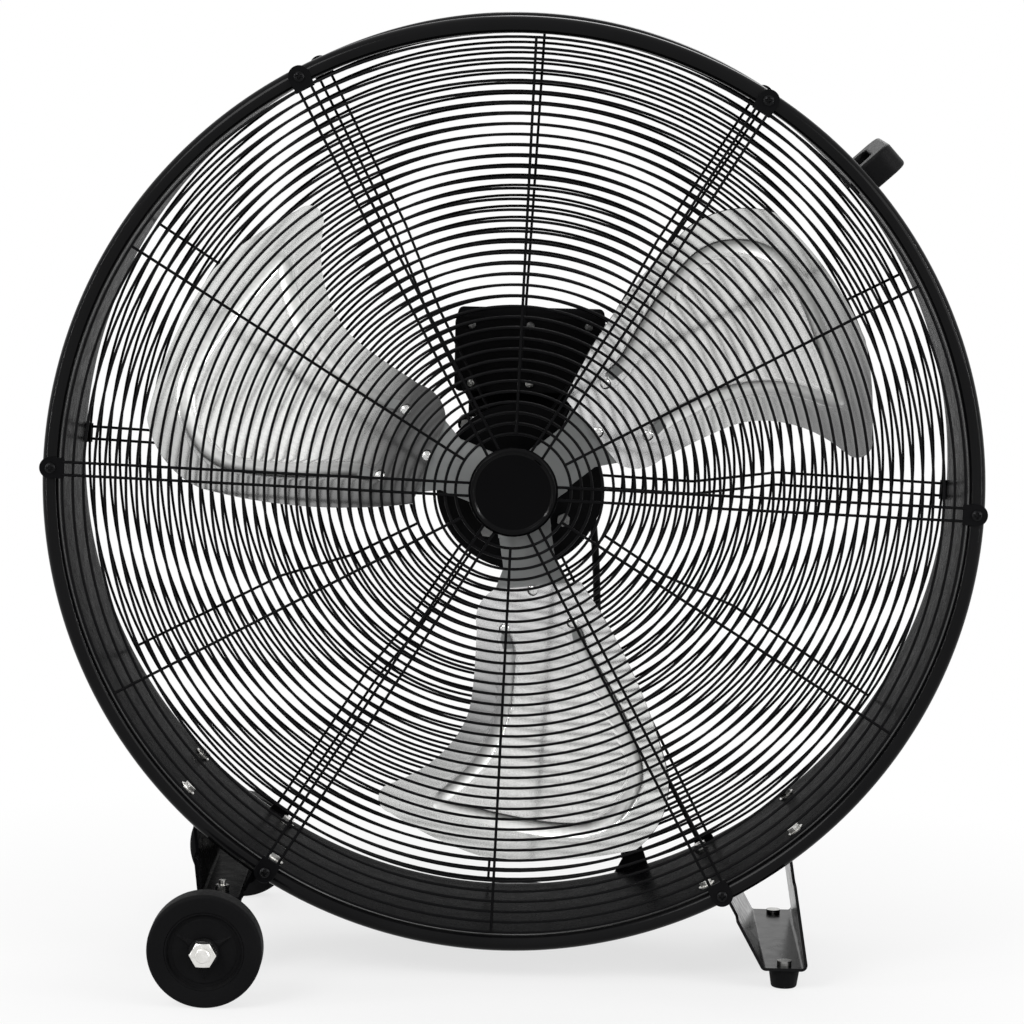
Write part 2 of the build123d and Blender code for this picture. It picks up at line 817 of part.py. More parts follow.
# Hub with three arms, each bent like the blade in front of it
arm_front = blade_bend + blade_sheet + press_gap
with BuildPart() as blade_spider:
    for angle in fan_angles:
        with BuildSketch(chord_plane(angle)):
            with Locations((bend_along, bend_depth)):
                Circle(arm_front + arm_sheet)
                Circle(arm_front, mode=Mode.SUBTRACT)
            with Locations((0, blade_depth)):
                Rectangle(2 * arm_outer_half, 2 * arm_outer_half, mode=Mode.INTERSECT)
        extrude(amount=-arm_end)
    for angle in fan_angles:
        with BuildSketch(motor_plane(0, angle)):
            with BuildLine():
                upper = Polyline(
                    (arm_inner, arm_inner_half),
                    (arm_neck, arm_inner_half),
                    (arm_shoulder, arm_outer_half),
                    (arm_end + arm_corner, arm_outer_half),
                )
                mirror(upper, about=Plane.XZ)
                Line((arm_inner, arm_inner_half), (arm_inner, -arm_inner_half))
                Line((arm_end + arm_corner, arm_outer_half), (arm_end + arm_corner, -arm_outer_half))
            make_face()
    extrude(amount=blade_slab, mode=Mode.INTERSECT)
    with BuildSketch(motor_plane(hub_rear)):
        Circle(hub_radius)
    extrude(amount=hub_rear - hub_front)
    with BuildSketch(motor_plane(0)):
        Circle(shaft_radius + press_gap)
    extrude(amount=blade_slab, mode=Mode.SUBTRACT)
    with BuildSketch(*[rivet_plane(angle, spot) for angle in fan_angles for spot in rivet_spots]):
        Circle(rivet_radius + hole_gap)
    extrude(amount=2 * (arm_sheet + blade_sheet), both=True, mode=Mode.SUBTRACT)
    with BuildSketch(wall_plane(set_screw_turn, shaft_radius, set_screw_depth, middle=motor_centre)):
        Circle(m6_radius + hole_gap)
    extrude(amount=hub_radius, mode=Mode.SUBTRACT)

# Set screw of the hub
with BuildPart() as hub_set_screw:
    screw_start = shaft_radius + hole_gap
    with BuildSketch(wall_plane(set_screw_turn, screw_start, set_screw_depth, middle=motor_centre)):
        Circle(m6_radius)
    extrude(amount=hub_radius - shaft_radius - end_play)

# First blade: bent sheet cut to the blade's outline
with BuildPart() as blade_1:
    with BuildSketch(chord_plane(fan_angles[0])):
        with Locations((bend_along, bend_depth)):
            Circle(blade_bend + blade_sheet)
            Circle(blade_bend, mode=Mode.SUBTRACT)
        with Locations((0, blade_depth)):
            Rectangle(2 * blade_slab, blade_slab, mode=Mode.INTERSECT)
    extrude(amount=-blade_tip)
    with BuildSketch(motor_plane(blade_slab / 4, fan_angles[0])):
        with BuildLine():
            ThreePointArc(root_high, trailing_round, shoulder)
            ThreePointArc(shoulder, shoulder_round, on_tip(tip_start_angle))
            ThreePointArc(on_tip(tip_start_angle), on_tip(tip_middle_angle), on_tip(tip_end_angle))
            ThreePointArc(on_tip(tip_end_angle), lobe_edge, lobe_outside)
            ThreePointArc(lobe_outside, lobe_round, lobe_inside)
            Spline(lobe_inside, *hollow_edge, heel)
            ThreePointArc(heel, heel_round, root_low)
            Line(root_low, root_high)
        make_face()
    extrude(amount=blade_slab, mode=Mode.INTERSECT)
    with BuildSketch(*[rivet_plane(fan_angles[0], spot) for spot in rivet_spots]):
        Circle(rivet_radius + hole_gap)
    extrude(amount=2 * blade_sheet, both=True, mode=Mode.SUBTRACT)

# Second and third blades, turned copies of the first
with BuildPart() as blade_2:
    add(blade_1.part.rotate(motor_axis, fan_angles[0] - fan_angles[1]))

with BuildPart() as blade_3:
    add(blade_1.part.rotate(motor_axis, fan_angles[0] - fan_angles[2]))

# Rivets through the blades and the arms
rivet_grip = blade_sheet + press_gap + arm_sheet + 2 * rivet_seat
with BuildPart() as blade_rivets:
    rivet_faces = [
        rivet_plane(angle, spot).offset(rivet_seat)
        for angle in fan_angles
        for spot in rivet_spots
    ]
    with BuildSketch(*rivet_faces):
        Circle(rivet_head_radius)
    extrude(amount=rivet_head_height)
    with BuildSketch(*rivet_faces):
        Circle(rivet_radius)
    extrude(amount=-rivet_grip)
    with BuildSketch(*[plane.offset(-rivet_grip) for plane in rivet_faces]):
        Circle(rivet_tail_radius)
    extrude(amount=-rivet_tail_height)

# Control box: cast body that sits on the motor with a saddle, open at the front
box_middle = (box_low + box_high) / 2
post_x = box_half_width - box_post_side
post_levels = (box_low + box_post_inset, box_high - box_post_inset)
post_spots = [(side * post_x, level) for side in (-1, 0, 1) for level in post_levels]
with BuildPart() as control_box:
    with BuildSketch(box_plane(box_rear)):
        with Locations((0, box_middle)):
            RectangleRounded(2 * box_half_width, box_height, box_corner)
    extrude(amount=box_rear - box_front)
    with BuildSketch(box_plane(saddle_rear)):
        with Locations((-box_shift, (box_low + box_wall + saddle_low) / 2)):
            Rectangle(2 * saddle_half_width, box_low + box_wall - saddle_low)
        with Locations((-box_shift, 0)):
            Circle(motor_radius + hole_gap, mode=Mode.SUBTRACT)
    extrude(amount=saddle_rear - saddle_front)
    with BuildSketch(box_plane(box_rear - box_wall)):
        with Locations((0, box_middle)):
            room_width = 2 * (box_half_width - box_wall)
            RectangleRounded(room_width, box_height - 2 * box_wall, box_corner - box_wall)
    extrude(amount=box_rear - box_wall - box_front, mode=Mode.SUBTRACT)
    with BuildSketch(box_plane(box_front + box_post_length)):
        with Locations(*post_spots):
            Circle(box_post_radius)
            Circle(box_screw_radius + press_gap, mode=Mode.SUBTRACT)
    extrude(amount=box_post_length)
    with BuildSketch(box_plane(box_rear)):
        with Locations((0, knob_high)):
            Circle(knob_stem_radius + end_play)
    extrude(amount=2 * box_wall, mode=Mode.SUBTRACT)
    with BuildSketch(*[floor_plane(x, y, motor_height + box_low + box_wall) for x, y in saddle_screw_spots]):
        Circle(saddle_screw_radius + hole_gap)
    extrude(amount=saddle_screw_tip - box_low - box_wall, mode=Mode.SUBTRACT)

# Front cover of the control box
cover_front = box_front - box_wall
with BuildPart() as control_box_cover:
    with BuildSketch(box_plane(box_front)):
        with Locations((0, box_middle)):
            RectangleRounded(2 * box_half_width, box_height, box_corner)
        with Locations(*post_spots):
            Circle(box_screw_radius + hole_gap, mode=Mode.SUBTRACT)
    extrude(amount=box_wall)

# Screws of the cover and of the saddle
with BuildPart() as control_box_screws:
    with BuildSketch(box_plane(cover_front)):
        with Locations(*post_spots):
            Circle(box_screw_head)
    extrude(amount=box_screw_head_height)
    with BuildSketch(box_plane(cover_front)):
        with Locations(*post_spots):
            Circle(box_screw_radius)
    extrude(amount=-box_screw_length)
    saddle_planes = [floor_plane(x, y, motor_height + box_low + box_wall) for x, y in saddle_screw_spots]
    with BuildSketch(*saddle_planes):
        Circle(box_screw_head)
    extrude(amount=box_screw_head_height)
    with BuildSketch(*saddle_planes):
        Circle(saddle_screw_radius)
    extrude(amount=saddle_screw_tip - box_low - box_wall)

# Run capacitor on the floor of the box
with BuildPart() as run_capacitor:
    capacitor_high = motor_height + box_low + box_wall + capacitor_radius + hole_gap
    with BuildSketch(Plane.YZ.offset(motor_x + capacitor_x - capacitor_length / 2)):
        with Locations((capacitor_y, capacitor_high)):
            Circle(capacitor_radius)
    extrude(amount=capacitor_length)
    fillet(run_capacitor.edges(), radius=box_wall)

# Speed switch inside the rear wall of the box
with BuildPart() as speed_switch:
    with BuildSketch(box_plane(box_rear - box_wall)):
        with Locations((0, knob_high)):
            Rectangle(switch_width, switch_width)
            Circle(knob_stem_radius + running_gap, mode=Mode.SUBTRACT)
    extrude(amount=switch_depth)

# Speed knob with a grip bar and a stem that turns in the switch
with BuildPart() as speed_knob:
    knob_face = box_rear + knob_gap
    with BuildSketch(box_plane(knob_face)):
        with Locations((0, knob_high)):
            Circle(knob_radius)
    extrude(amount=-knob_length + knob_grip_height)
    fillet(speed_knob.edges().group_by(Axis.Y)[-1], radius=knob_round)
    with BuildSketch(box_plane(knob_face + knob_length - knob_grip_height)):
        with Locations((0, knob_high)):
            SlotOverall(2 * knob_radius - knob_grip_width / 2, knob_grip_width, rotation=90)
    extrude(amount=-knob_grip_height)
    with BuildSketch(box_plane(knob_face)):
        with Locations((0, knob_high)):
            Circle(knob_stem_radius)
    extrude(amount=knob_stem_length)

# Cable gland with a tapered strain relief under the box
gland_end = motor_height + box_low - gland_length
with BuildPart() as cable_gland:
    with BuildSketch(floor_plane(gland_x, gland_y, motor_height + box_low)):
        RegularPolygon(gland_top_radius, 6)
    extrude(amount=-gland_collar)
    with BuildSketch(Plane(origin=(gland_x, gland_y, 0), x_dir=(1, 0, 0), z_dir=(0, -1, 0))):
        with BuildLine():
            Polyline(
                (0, motor_height + box_low - gland_collar),
                (gland_top_radius - box_wall, motor_height + box_low - gland_collar),
                (gland_end_radius, gland_end),
                (0, gland_end),
                close=True,
            )
        make_face()
    revolve(axis=Axis((gland_x, gland_y, 0), (0, 0, 1)))

# Handle: moulded arch on the drum's wall
handle_half_gap = handle_gap_length / 2
with BuildPart() as handle:
    with BuildSketch(spoke_plane(handle_angle)):
        with BuildLine():
            FilletPolyline(
                (wall_inner, -handle_length / 2),
                (wall_outer + handle_rise, -handle_length / 2),
                (wall_outer + handle_rise, handle_length / 2),
                (wall_inner, handle_length / 2),
                radius=handle_corner,
            )
            FilletPolyline(
                (wall_inner, -handle_half_gap),
                (wall_outer + handle_gap_rise, -handle_half_gap),
                (wall_outer + handle_gap_rise, handle_half_gap),
                (wall_inner, handle_half_gap),
                radius=handle_gap_corner,
            )
            Line((wall_inner, -handle_length / 2), (wall_inner, -handle_half_gap))
            Line((wall_inner, handle_length / 2), (wall_inner, handle_half_gap))
        make_face()
    extrude(amount=handle_width / 2, both=True)
    side_faces = handle.faces().filter_by(Plane(centre, z_dir=round_about(handle_angle)))
    fillet(side_faces.edges(), radius=handle_edge)
    with BuildSketch(section):
        with Locations((wall_inner - handle_width, 0)):
            Rectangle(2 * (handle_width + drum_sheet + hole_gap), drum_depth)
    revolve(axis=drum_axis, mode=Mode.SUBTRACT)
    with BuildSketch(
        wall_plane(handle_angle, wall_inner, -handle_screw_y),
        wall_plane(handle_angle, wall_inner, handle_screw_y),
    ):
        Circle(handle_screw_radius + press_gap)
    extrude(amount=handle_screw_length + hole_gap, mode=Mode.SUBTRACT)

# Handle screws, put in from inside the drum
with BuildPart() as handle_screws:
    handle_planes = [
        wall_plane(handle_angle, wall_inner - hole_gap, side * handle_screw_y, -1)
        for side in (-1, 1)
    ]
    with BuildSketch(*handle_planes):
        Circle(handle_head_radius)
    extrude(amount=handle_head_height)
    with BuildSketch(*handle_planes):
        Circle(handle_screw_radius)
    extrude(amount=-handle_screw_length)

# Foot leg: bent sheet under the drum
foot_plate_middle = foot_height + leg_sheet / 2
with BuildPart() as foot_leg:
    with BuildSketch(face_plane(0)):
        with BuildLine():
            FilletPolyline(*leg_route(foot_bolt_angles, foot_plate_x, foot_plate_middle), radius=leg_bend)
        trace(line_width=leg_sheet)
    extrude(amount=leg_half_depth, both=True)
    with BuildSketch(section):
        notch_middle = (flange_half_depth + drum_depth) / 2
        with Locations((rim_radius, notch_middle), (rim_radius, -notch_middle)):
            Rectangle(notch_reach, drum_depth - flange_half_depth)
    revolve(axis=drum_axis, mode=Mode.SUBTRACT)
    foot_flanges = [(angle, depth) for angle, depth in leg_bolt_spots if angle in foot_bolt_angles]
    with BuildSketch(*[wall_plane(angle, wall_outer, depth) for angle, depth in foot_flanges]):
        Circle(m6_radius + hole_gap)
    extrude(amount=leg_sheet + leg_bend, mode=Mode.SUBTRACT)
    with BuildSketch(floor_plane(foot_x, -foot_y, foot_height), floor_plane(foot_x, foot_y, foot_height)):
        Circle(m6_radius + hole_gap)
    extrude(amount=leg_sheet, mode=Mode.SUBTRACT)

# Wheel leg: the same kind of bent sheet above the axle
with BuildPart() as wheel_leg:
    with BuildSketch(face_plane(0)):
        with BuildLine():
            wheel_plate_middle = wheel_plate_top - leg_sheet / 2
            FilletPolyline(*leg_route(wheel_bolt_angles, wheel_plate_x, wheel_plate_middle), radius=leg_bend)
        trace(line_width=leg_sheet)
    extrude(amount=leg_half_depth, both=True)
    with BuildSketch(section):
        with Locations((rim_radius, notch_middle), (rim_radius, -notch_middle)):
            Rectangle(notch_reach, drum_depth - flange_half_depth)
    revolve(axis=drum_axis, mode=Mode.SUBTRACT)
    wheel_flanges = [(angle, depth) for angle, depth in leg_bolt_spots if angle in wheel_bolt_angles]
    with BuildSketch(*[wall_plane(angle, wall_outer, depth) for angle, depth in wheel_flanges]):
        Circle(m6_radius + hole_gap)
    extrude(amount=leg_sheet + leg_bend, mode=Mode.SUBTRACT)
    hanger_spots = [(hanger_x, side * hanger_bolt_y) for side in (-1, 1)]
    with BuildSketch(*[floor_plane(x, y, hanger_top) for x, y in hanger_spots]):
        Circle(m6_radius + hole_gap)
    extrude(amount=leg_sheet, mode=Mode.SUBTRACT)

# Leg bolts with flanged heads inside the drum
leg_bolt_length = drum_sheet + leg_sheet + m6_nut_height + m6_tail
with BuildPart() as leg_bolts:
    leg_planes = [wall_plane(angle, wall_inner - hole_gap, depth, -1) for angle, depth in leg_bolt_spots]
    with BuildSketch(*leg_planes):
        Circle(m6_flange_radius)
    extrude(amount=m6_flange_height)
    with BuildSketch(*leg_planes):
        RegularPolygon(m6_across_corners, 6)
    extrude(amount=m6_flange_height + m6_head_height)
    with BuildSketch(*leg_planes):
        Circle(m6_radius)
    extrude(amount=-leg_bolt_length)

# Leg nuts outside the flanges
with BuildPart() as leg_nuts:
    with BuildSketch(*[wall_plane(angle, wall_outer + leg_sheet, depth) for angle, depth in leg_bolt_spots]):
        RegularPolygon(m6_across_corners, 6)
        Circle(m6_radius + press_gap, mode=Mode.SUBTRACT)
    extrude(amount=m6_nut_height)

# Rubber feet, one at each end of the foot leg
foot_profile = [
    (0, 0),
    (foot_bottom_radius, 0),
    (foot_top_radius, foot_height),
    (m6_radius + press_gap, foot_height),
    (m6_radius + press_gap, foot_height - foot_screw_depth - hole_gap),
    (0, foot_height - foot_screw_depth - hole_gap),
]
with BuildPart() as front_foot:
    with BuildSketch(Plane(origin=(foot_x, -foot_y, 0), x_dir=(1, 0, 0), z_dir=(0, -1, 0))):
        with BuildLine():
            Polyline(*foot_profile, close=True)
        make_face()
        fillet(vertices().sort_by(Axis.X)[-2], radius=foot_round)
    revolve(axis=Axis((foot_x, -foot_y, 0), (0, 0, 1)))

with BuildPart() as rear_foot:
    add(front_foot.part.moved(Location((0, 2 * foot_y, 0))))

# Screws through the plate into the feet
with BuildPart() as foot_screws:
    foot_planes = [floor_plane(foot_x, side * foot_y, foot_height + leg_sheet) for side in (-1, 1)]
    with BuildSketch(*foot_planes):
        Circle(foot_head_radius)
    extrude(amount=foot_head_height)
    with BuildSketch(*foot_planes):
        Circle(m6_radius)
    extrude(amount=-leg_sheet - foot_screw_depth)

# Axle hanger: folded bracket under the wheel leg
with BuildPart() as axle_hanger:
    ear_middle = hanger_half_length - hanger_sheet / 2
    ear_low = axle_height - hanger_drop
    with BuildSketch(Plane.YZ.offset(hanger_x)):
        with BuildLine():
            FilletPolyline(
                (-ear_middle, ear_low),
                (-ear_middle, hanger_top - hanger_sheet / 2),
                (ear_middle, hanger_top - hanger_sheet / 2),
                (ear_middle, ear_low),
                radius=hanger_bend,
            )
        trace(line_width=hanger_sheet)
    extrude(amount=(wheel_plate_x[1] - wheel_plate_x[0]) / 2, both=True)
    fillet(axle_hanger.edges().filter_by(Axis.Y).group_by(Axis.Z)[0], radius=hanger_corner)
    with BuildSketch(Plane(origin=(axle_x, drum_depth, axle_height), x_dir=(1, 0, 0), z_dir=(0, -1, 0))):
        Circle(axle_radius + hole_gap)
    extrude(amount=2 * drum_depth, mode=Mode.SUBTRACT)
    with BuildSketch(*[floor_plane(x, y, hanger_top) for x, y in hanger_spots]):
        Circle(m6_radius + hole_gap)
    extrude(amount=-hanger_sheet, mode=Mode.SUBTRACT)

# Hanger bolts and nuts
with BuildPart() as hanger_bolts:
    hanger_planes = [floor_plane(x, y, hanger_top - hanger_sheet, -1) for x, y in hanger_spots]
    with BuildSketch(*hanger_planes):
        RegularPolygon(m6_across_corners, 6)
    extrude(amount=m6_head_height)
    with BuildSketch(*hanger_planes):
        Circle(m6_radius)
    extrude(amount=-hanger_sheet - leg_sheet - m6_nut_height - m6_tail)

with BuildPart() as hanger_nuts:
    with BuildSketch(*[floor_plane(x, y, wheel_plate_top) for x, y in hanger_spots]):
        RegularPolygon(m6_across_corners, 6)
        Circle(m6_radius + press_gap, mode=Mode.SUBTRACT)
    extrude(amount=m6_nut_height)

# Axle rod
nut_seat = wheel_face + end_play + washer_sheet
axle_half_length = nut_seat + nut_height + axle_overhang
with BuildPart() as axle:
    axle_end = (axle_x, axle_half_length, axle_height)
    with BuildSketch(Plane(origin=axle_end, x_dir=(1, 0, 0), z_dir=(0, -1, 0))):
        Circle(axle_radius)
    extrude(amount=2 * axle_half_length)
    chamfer(axle.edges(), length=edge_chamfer)

# Sleeves between the hanger and the wheels
wheel_back = wheel_face - wheel_width
sleeve_end = wheel_back - end_play - washer_sheet
with BuildPart() as axle_sleeves:
    with BuildSketch(axle_section):
        sleeve_middle = (hanger_half_length + sleeve_end) / 2
        sleeve_wall = sleeve_radius - axle_radius - hole_gap
        for side in (-1, 1):
            with Locations((sleeve_radius - sleeve_wall / 2, side * sleeve_middle)):
                Rectangle(sleeve_wall, sleeve_end - hanger_half_length)
    revolve(axis=axle_line)

# Washers on both sides of each wheel
with BuildPart() as axle_washers:
    with BuildSketch(axle_section):
        washer_wall = washer_radius - axle_radius - hole_gap
        for place in (sleeve_end + washer_sheet / 2, nut_seat - washer_sheet / 2):
            for side in (-1, 1):
                with Locations((washer_radius - washer_wall / 2, side * place)):
                    Rectangle(washer_wall, washer_sheet)
    revolve(axis=axle_line)

# Axle nuts with chamfered corners
with BuildPart() as axle_nuts:
    nut_faces = [
        Plane(origin=(axle_x, side * nut_seat, axle_height), x_dir=(1, 0, 0), z_dir=(0, side, 0))
        for side in (-1, 1)
    ]
    with BuildSketch(*nut_faces):
        RegularPolygon(nut_across_corners, 6)
        Circle(axle_radius + press_gap, mode=Mode.SUBTRACT)
    extrude(amount=nut_height)
    with BuildSketch(axle_section):
        flat_radius = nut_across_corners * math.cos(math.radians(30))
        corner_drop = (nut_across_corners - flat_radius) * math.tan(math.radians(nut_chamfer_angle))
        nut_end = nut_seat + nut_height
        for side in (-1, 1):
            with BuildLine():
                Polyline(
                    (flat_radius, side * nut_end),
                    (nut_across_corners + nut_cut_reach, side * (nut_end + nut_cut_reach)),
                    (nut_across_corners + nut_cut_reach, side * (nut_end - corner_drop * 2)),
                    close=True,
                )
            make_face()
    revolve(axis=axle_line, mode=Mode.SUBTRACT)

# Wheel cores: rim, recessed web and hub
core_outer = tyre_inner - press_gap
web_middle = wheel_back + wheel_width / 2
with BuildPart() as front_wheel_core:
    with BuildSketch(axle_section):
        with BuildLine():
            Polyline(
                (axle_radius + running_gap, -wheel_face),
                (wheel_hub, -wheel_face),
                (wheel_hub + web_depth / 2, web_depth - wheel_face),
                (web_outer, web_depth - wheel_face),
                (core_outer, -wheel_face),
                (core_outer, -wheel_back),
                (web_outer, -wheel_back - web_depth),
                (wheel_hub + web_depth / 2, -wheel_back - web_depth),
                (wheel_hub, -wheel_back),
                (axle_radius + running_gap, -wheel_back),
                close=True,
            )
        make_face()
    revolve(axis=axle_line)

with BuildPart() as rear_wheel_core:
    add(front_wheel_core.part.moved(Location((0, 2 * web_middle, 0))))

# Rubber tyres
with BuildPart() as front_wheel_tyre:
    with BuildSketch(axle_section):
        with Locations(((tyre_inner + wheel_radius) / 2, -web_middle)):
            Rectangle(wheel_radius - tyre_inner, wheel_width)
        fillet(vertices().group_by(Axis.X)[-1], radius=tyre_round)
    revolve(axis=axle_line)

with BuildPart() as rear_wheel_tyre:
    add(front_wheel_tyre.part.moved(Location((0, 2 * web_middle, 0))))

# Cord from the gland down behind the drum, through the clip and along the floor
clip_x = curl_centre * math.cos(math.radians(clip_loop_turn))
clip_y = half_depth + clip_reach
coil_entry = (coil_centre[0] + 2 * cord_radius, coil_centre[1] - coil_first_radius, coil_low)
cord_points = [
    (gland_x, gland_y, gland_end),
    (gland_x, gland_y, 416.0),
    (66.0, 98.5, 374.0),
    (71.0, 99.0, 328.0),
    (73.0, 101.0, 280.0),
    (76.0, 107.0, 232.0),
    (82.0, 113.5, 186.0),
    (92.0, 115.0, 138.0),
    (clip_x, clip_y, 92.0),
    (clip_x, clip_y, 54.0),
    (100.0, 115.0, 31.0),
    (80.0, 114.5, 11.5),
    (50.0, coil_entry[1], coil_low),
    coil_entry,
]
cord_bends = bend_radii(cord_points)
with BuildPart() as power_cord:
    with BuildLine() as cord_route:
        FilletPolyline(*cord_points, radius=cord_bends)
    with BuildSketch(Plane(origin=cord_route.line @ 0, z_dir=cord_route.line % 0)):
        Circle(cord_radius)
    sweep(path=cord_route.line)

# Clip that holds the cord at the rear rim
with BuildPart() as cord_clip:
    with BuildSketch(face_plane(half_depth)):
        with BuildLine():
            clip_spots = [outward(turn) * curl_centre for turn in clip_turns]
            clip_spots.append(outward(clip_turns[1]) * (curl_centre - clip_depth))
            Polyline(*[(spot.X, spot.Z) for spot in clip_spots], close=True)
        make_face()
        fillet(vertices(), radius=clip_round)
    extrude(amount=-clip_sheet)
    loop_inner = cord_radius + end_play
    with BuildSketch(Plane.XY.offset(clip_low)):
        with Locations((clip_x, (half_depth + clip_sheet / 2 + clip_y) / 2)):
            Rectangle(clip_arm, clip_y - half_depth - clip_sheet / 2)
        with Locations((clip_x, clip_y)):
            Circle(loop_inner + clip_wall)
            Circle(loop_inner, mode=Mode.SUBTRACT)
    extrude(amount=clip_height)

# Coil: half turns that spiral in on the floor, climb once and spiral out on top
coil_x, coil_y = coil_centre
inward_radii = [coil_first_radius - coil_step * count for count in range(coil_layer_turns + 1)]
stations = []
for radius in inward_radii:
    stations += [(radius, coil_low), (-radius, coil_low)]
climb_end = inward_radii[-1] - coil_step
stations.append((climb_end, coil_high))
for count in range(coil_layer_turns):
    stations.append((-inward_radii[-1] - coil_step * (count + 1), coil_high))
    stations.append((climb_end + coil_step * (count + 1), coil_high))
coil_spots = [Vector(coil_x, coil_y - reach, level) for reach, level in stations]
coil_exit = coil_spots[-1] - Vector(plug_lead, 0, 0)
with BuildPart() as cord_coil:
    with BuildLine() as coil_route:
        Line(coil_entry, coil_spots[0])
        for count, (start, end) in enumerate(zip(coil_spots, coil_spots[1:])):
            side = -1 if count % 2 == 0 else 1
            middle = (start + end) / 2 + Vector(side * (end - start).length / 2, 0, 0)
            ThreePointArc(start, middle, end)
        Line(coil_spots[-1], coil_exit)
    with BuildSketch(Plane(origin=coil_entry, z_dir=(-1, 0, 0))):
        Circle(cord_radius)
    sweep(path=coil_route.line)

# Tie round the coil, on the side away from the drum
with BuildPart() as cord_tie:
    tie_inner_y = coil_y + inward_radii[-1] - cord_radius - tie_gap
    tie_outer_y = coil_y + coil_first_radius + cord_radius + tie_gap
    tie_low = coil_low - cord_radius - tie_floor_gap / 2
    tie_high = coil_high + cord_radius + tie_gap
    with BuildSketch(Plane.YZ.offset(coil_x)):
        with Locations(((tie_inner_y + tie_outer_y) / 2, (tie_low + tie_high) / 2)):
            tie_length = tie_outer_y - tie_inner_y
            tie_rise = tie_high - tie_low
            RectangleRounded(tie_length + 2 * tie_sheet, tie_rise + 2 * tie_sheet, 2 * tie_sheet)
            RectangleRounded(tie_length, tie_rise, tie_sheet, mode=Mode.SUBTRACT)
    extrude(amount=tie_width / 2, both=True)

# Moulded plug with two round pins, lying on the floor beside the coil
with BuildPart() as plug:
    plug_start = Plane(origin=coil_exit, x_dir=(0, 1, 0), z_dir=(-1, 0, 0))
    with BuildSketch(plug_start):
        Circle(plug_neck_radius)
    extrude(amount=plug_neck_length)
    with BuildSketch(plug_start.offset(plug_neck_length)):
        RectangleRounded(plug_body_width, 2 * coil_high, plug_body_round)
    extrude(amount=plug_body_length)
    with BuildSketch(plug_start.offset(plug_neck_length + plug_body_length)):
        with Locations((plug_pin_spacing / 2, 0), (-plug_pin_spacing / 2, 0)):
            Circle(plug_pin_radius)
    extrude(amount=plug_pin_length)

pieces = {
    "drum_shell": drum_shell,
    "front_grille": front_grille,
    "front_grille_spokes": front_grille_spokes,
    "front_grille_screws": front_grille_screws,
    "centre_cap": centre_cap,
    "cap_backplate": cap_backplate,
    "cap_screw": cap_screw,
    "rear_grille": rear_grille,
    "rear_dish": rear_dish,
    "rear_grille_spokes": rear_grille_spokes,
    "rear_grille_screws": rear_grille_screws,
    "motor_mount_ring": motor_mount_ring,
    "motor_mount_bolts": motor_mount_bolts,
    "motor_front_cover": motor_front_cover,
    "motor_rear_cover": motor_rear_cover,
    "motor_tie_bolts": motor_tie_bolts,
    "stator_core": stator_core,
    "stator_windings": stator_windings,
    "motor_bearings": motor_bearings,
    "motor_shaft": motor_shaft,
    "motor_rotor": motor_rotor,
    "blade_spider": blade_spider,
    "hub_set_screw": hub_set_screw,
    "blade_1": blade_1,
    "blade_2": blade_2,
    "blade_3": blade_3,
    "blade_rivets": blade_rivets,
    "control_box": control_box,
    "control_box_cover": control_box_cover,
    "control_box_screws": control_box_screws,
    "run_capacitor": run_capacitor,
    "speed_switch": speed_switch,
    "speed_knob": speed_knob,
    "cable_gland": cable_gland,
    "handle": handle,
    "handle_screws": handle_screws,
    "foot_leg": foot_leg,
    "wheel_leg": wheel_leg,
    "leg_bolts": leg_bolts,
    "leg_nuts": leg_nuts,
    "front_foot": front_foot,
    "rear_foot": rear_foot,
    "foot_screws": foot_screws,
    "axle_hanger": axle_hanger,
    "hanger_bolts": hanger_bolts,
    "hanger_nuts": hanger_nuts,
    "axle": axle,
    "axle_sleeves": axle_sleeves,
    "axle_washers": axle_washers,
    "axle_nuts": axle_nuts,
    "front_wheel_core": front_wheel_core,
    "front_wheel_tyre": front_wheel_tyre,
    "rear_wheel_core": rear_wheel_core,
    "rear_wheel_tyre": rear_wheel_tyre,
    "power_cord": power_cord,
    "cord_clip": cord_clip,
    "cord_coil": cord_coil,
    "cord_tie": cord_tie,
    "plug": plug,
}
os.makedirs("parts", exist_ok=True)
for name, piece in pieces.items():
    piece.part.label = name
    export_step(piece.part, f"parts/{name}.step")

cord_section = math.pi * cord_radius**2
cord_length = sum(edge.length for edge in cord_route.edges())
coil_length = sum(edge.length for edge in coil_route.edges())
turn_wire = coil_route.line.wires()[0]
turn_points = [tuple(turn_wire.position_at(count / coil_samples)) for count in range(coil_samples + 1)]
apart = math.ceil(coil_samples * coil_gap_reach / coil_length)
coil_gap = min(
    math.dist(spot, other) - 2 * cord_radius
    for count, spot in enumerate(turn_points)
    for other in turn_points[count + apart :]
)
print("cord bends", [round(radius) for radius in cord_bends])
print("cord volume ratio", power_cord.part.volume / (cord_section * cord_length))
print("coil volume ratio", cord_coil.part.volume / (cord_section * coil_length))
print("coil gap", coil_gap)
print("cord length", cord_length + coil_length)
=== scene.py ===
"""Drum fan on two wheels: surfaces, finishes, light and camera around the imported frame.

Surfaces are worked out in millimetres and stored in metres. The floor is Z = 0, the front faces -Y, and
angles round the drum run counter-clockwise seen from the front, from +X.
"""

import math

import bpy
import numpy as np
from mathutils import Matrix, Vector


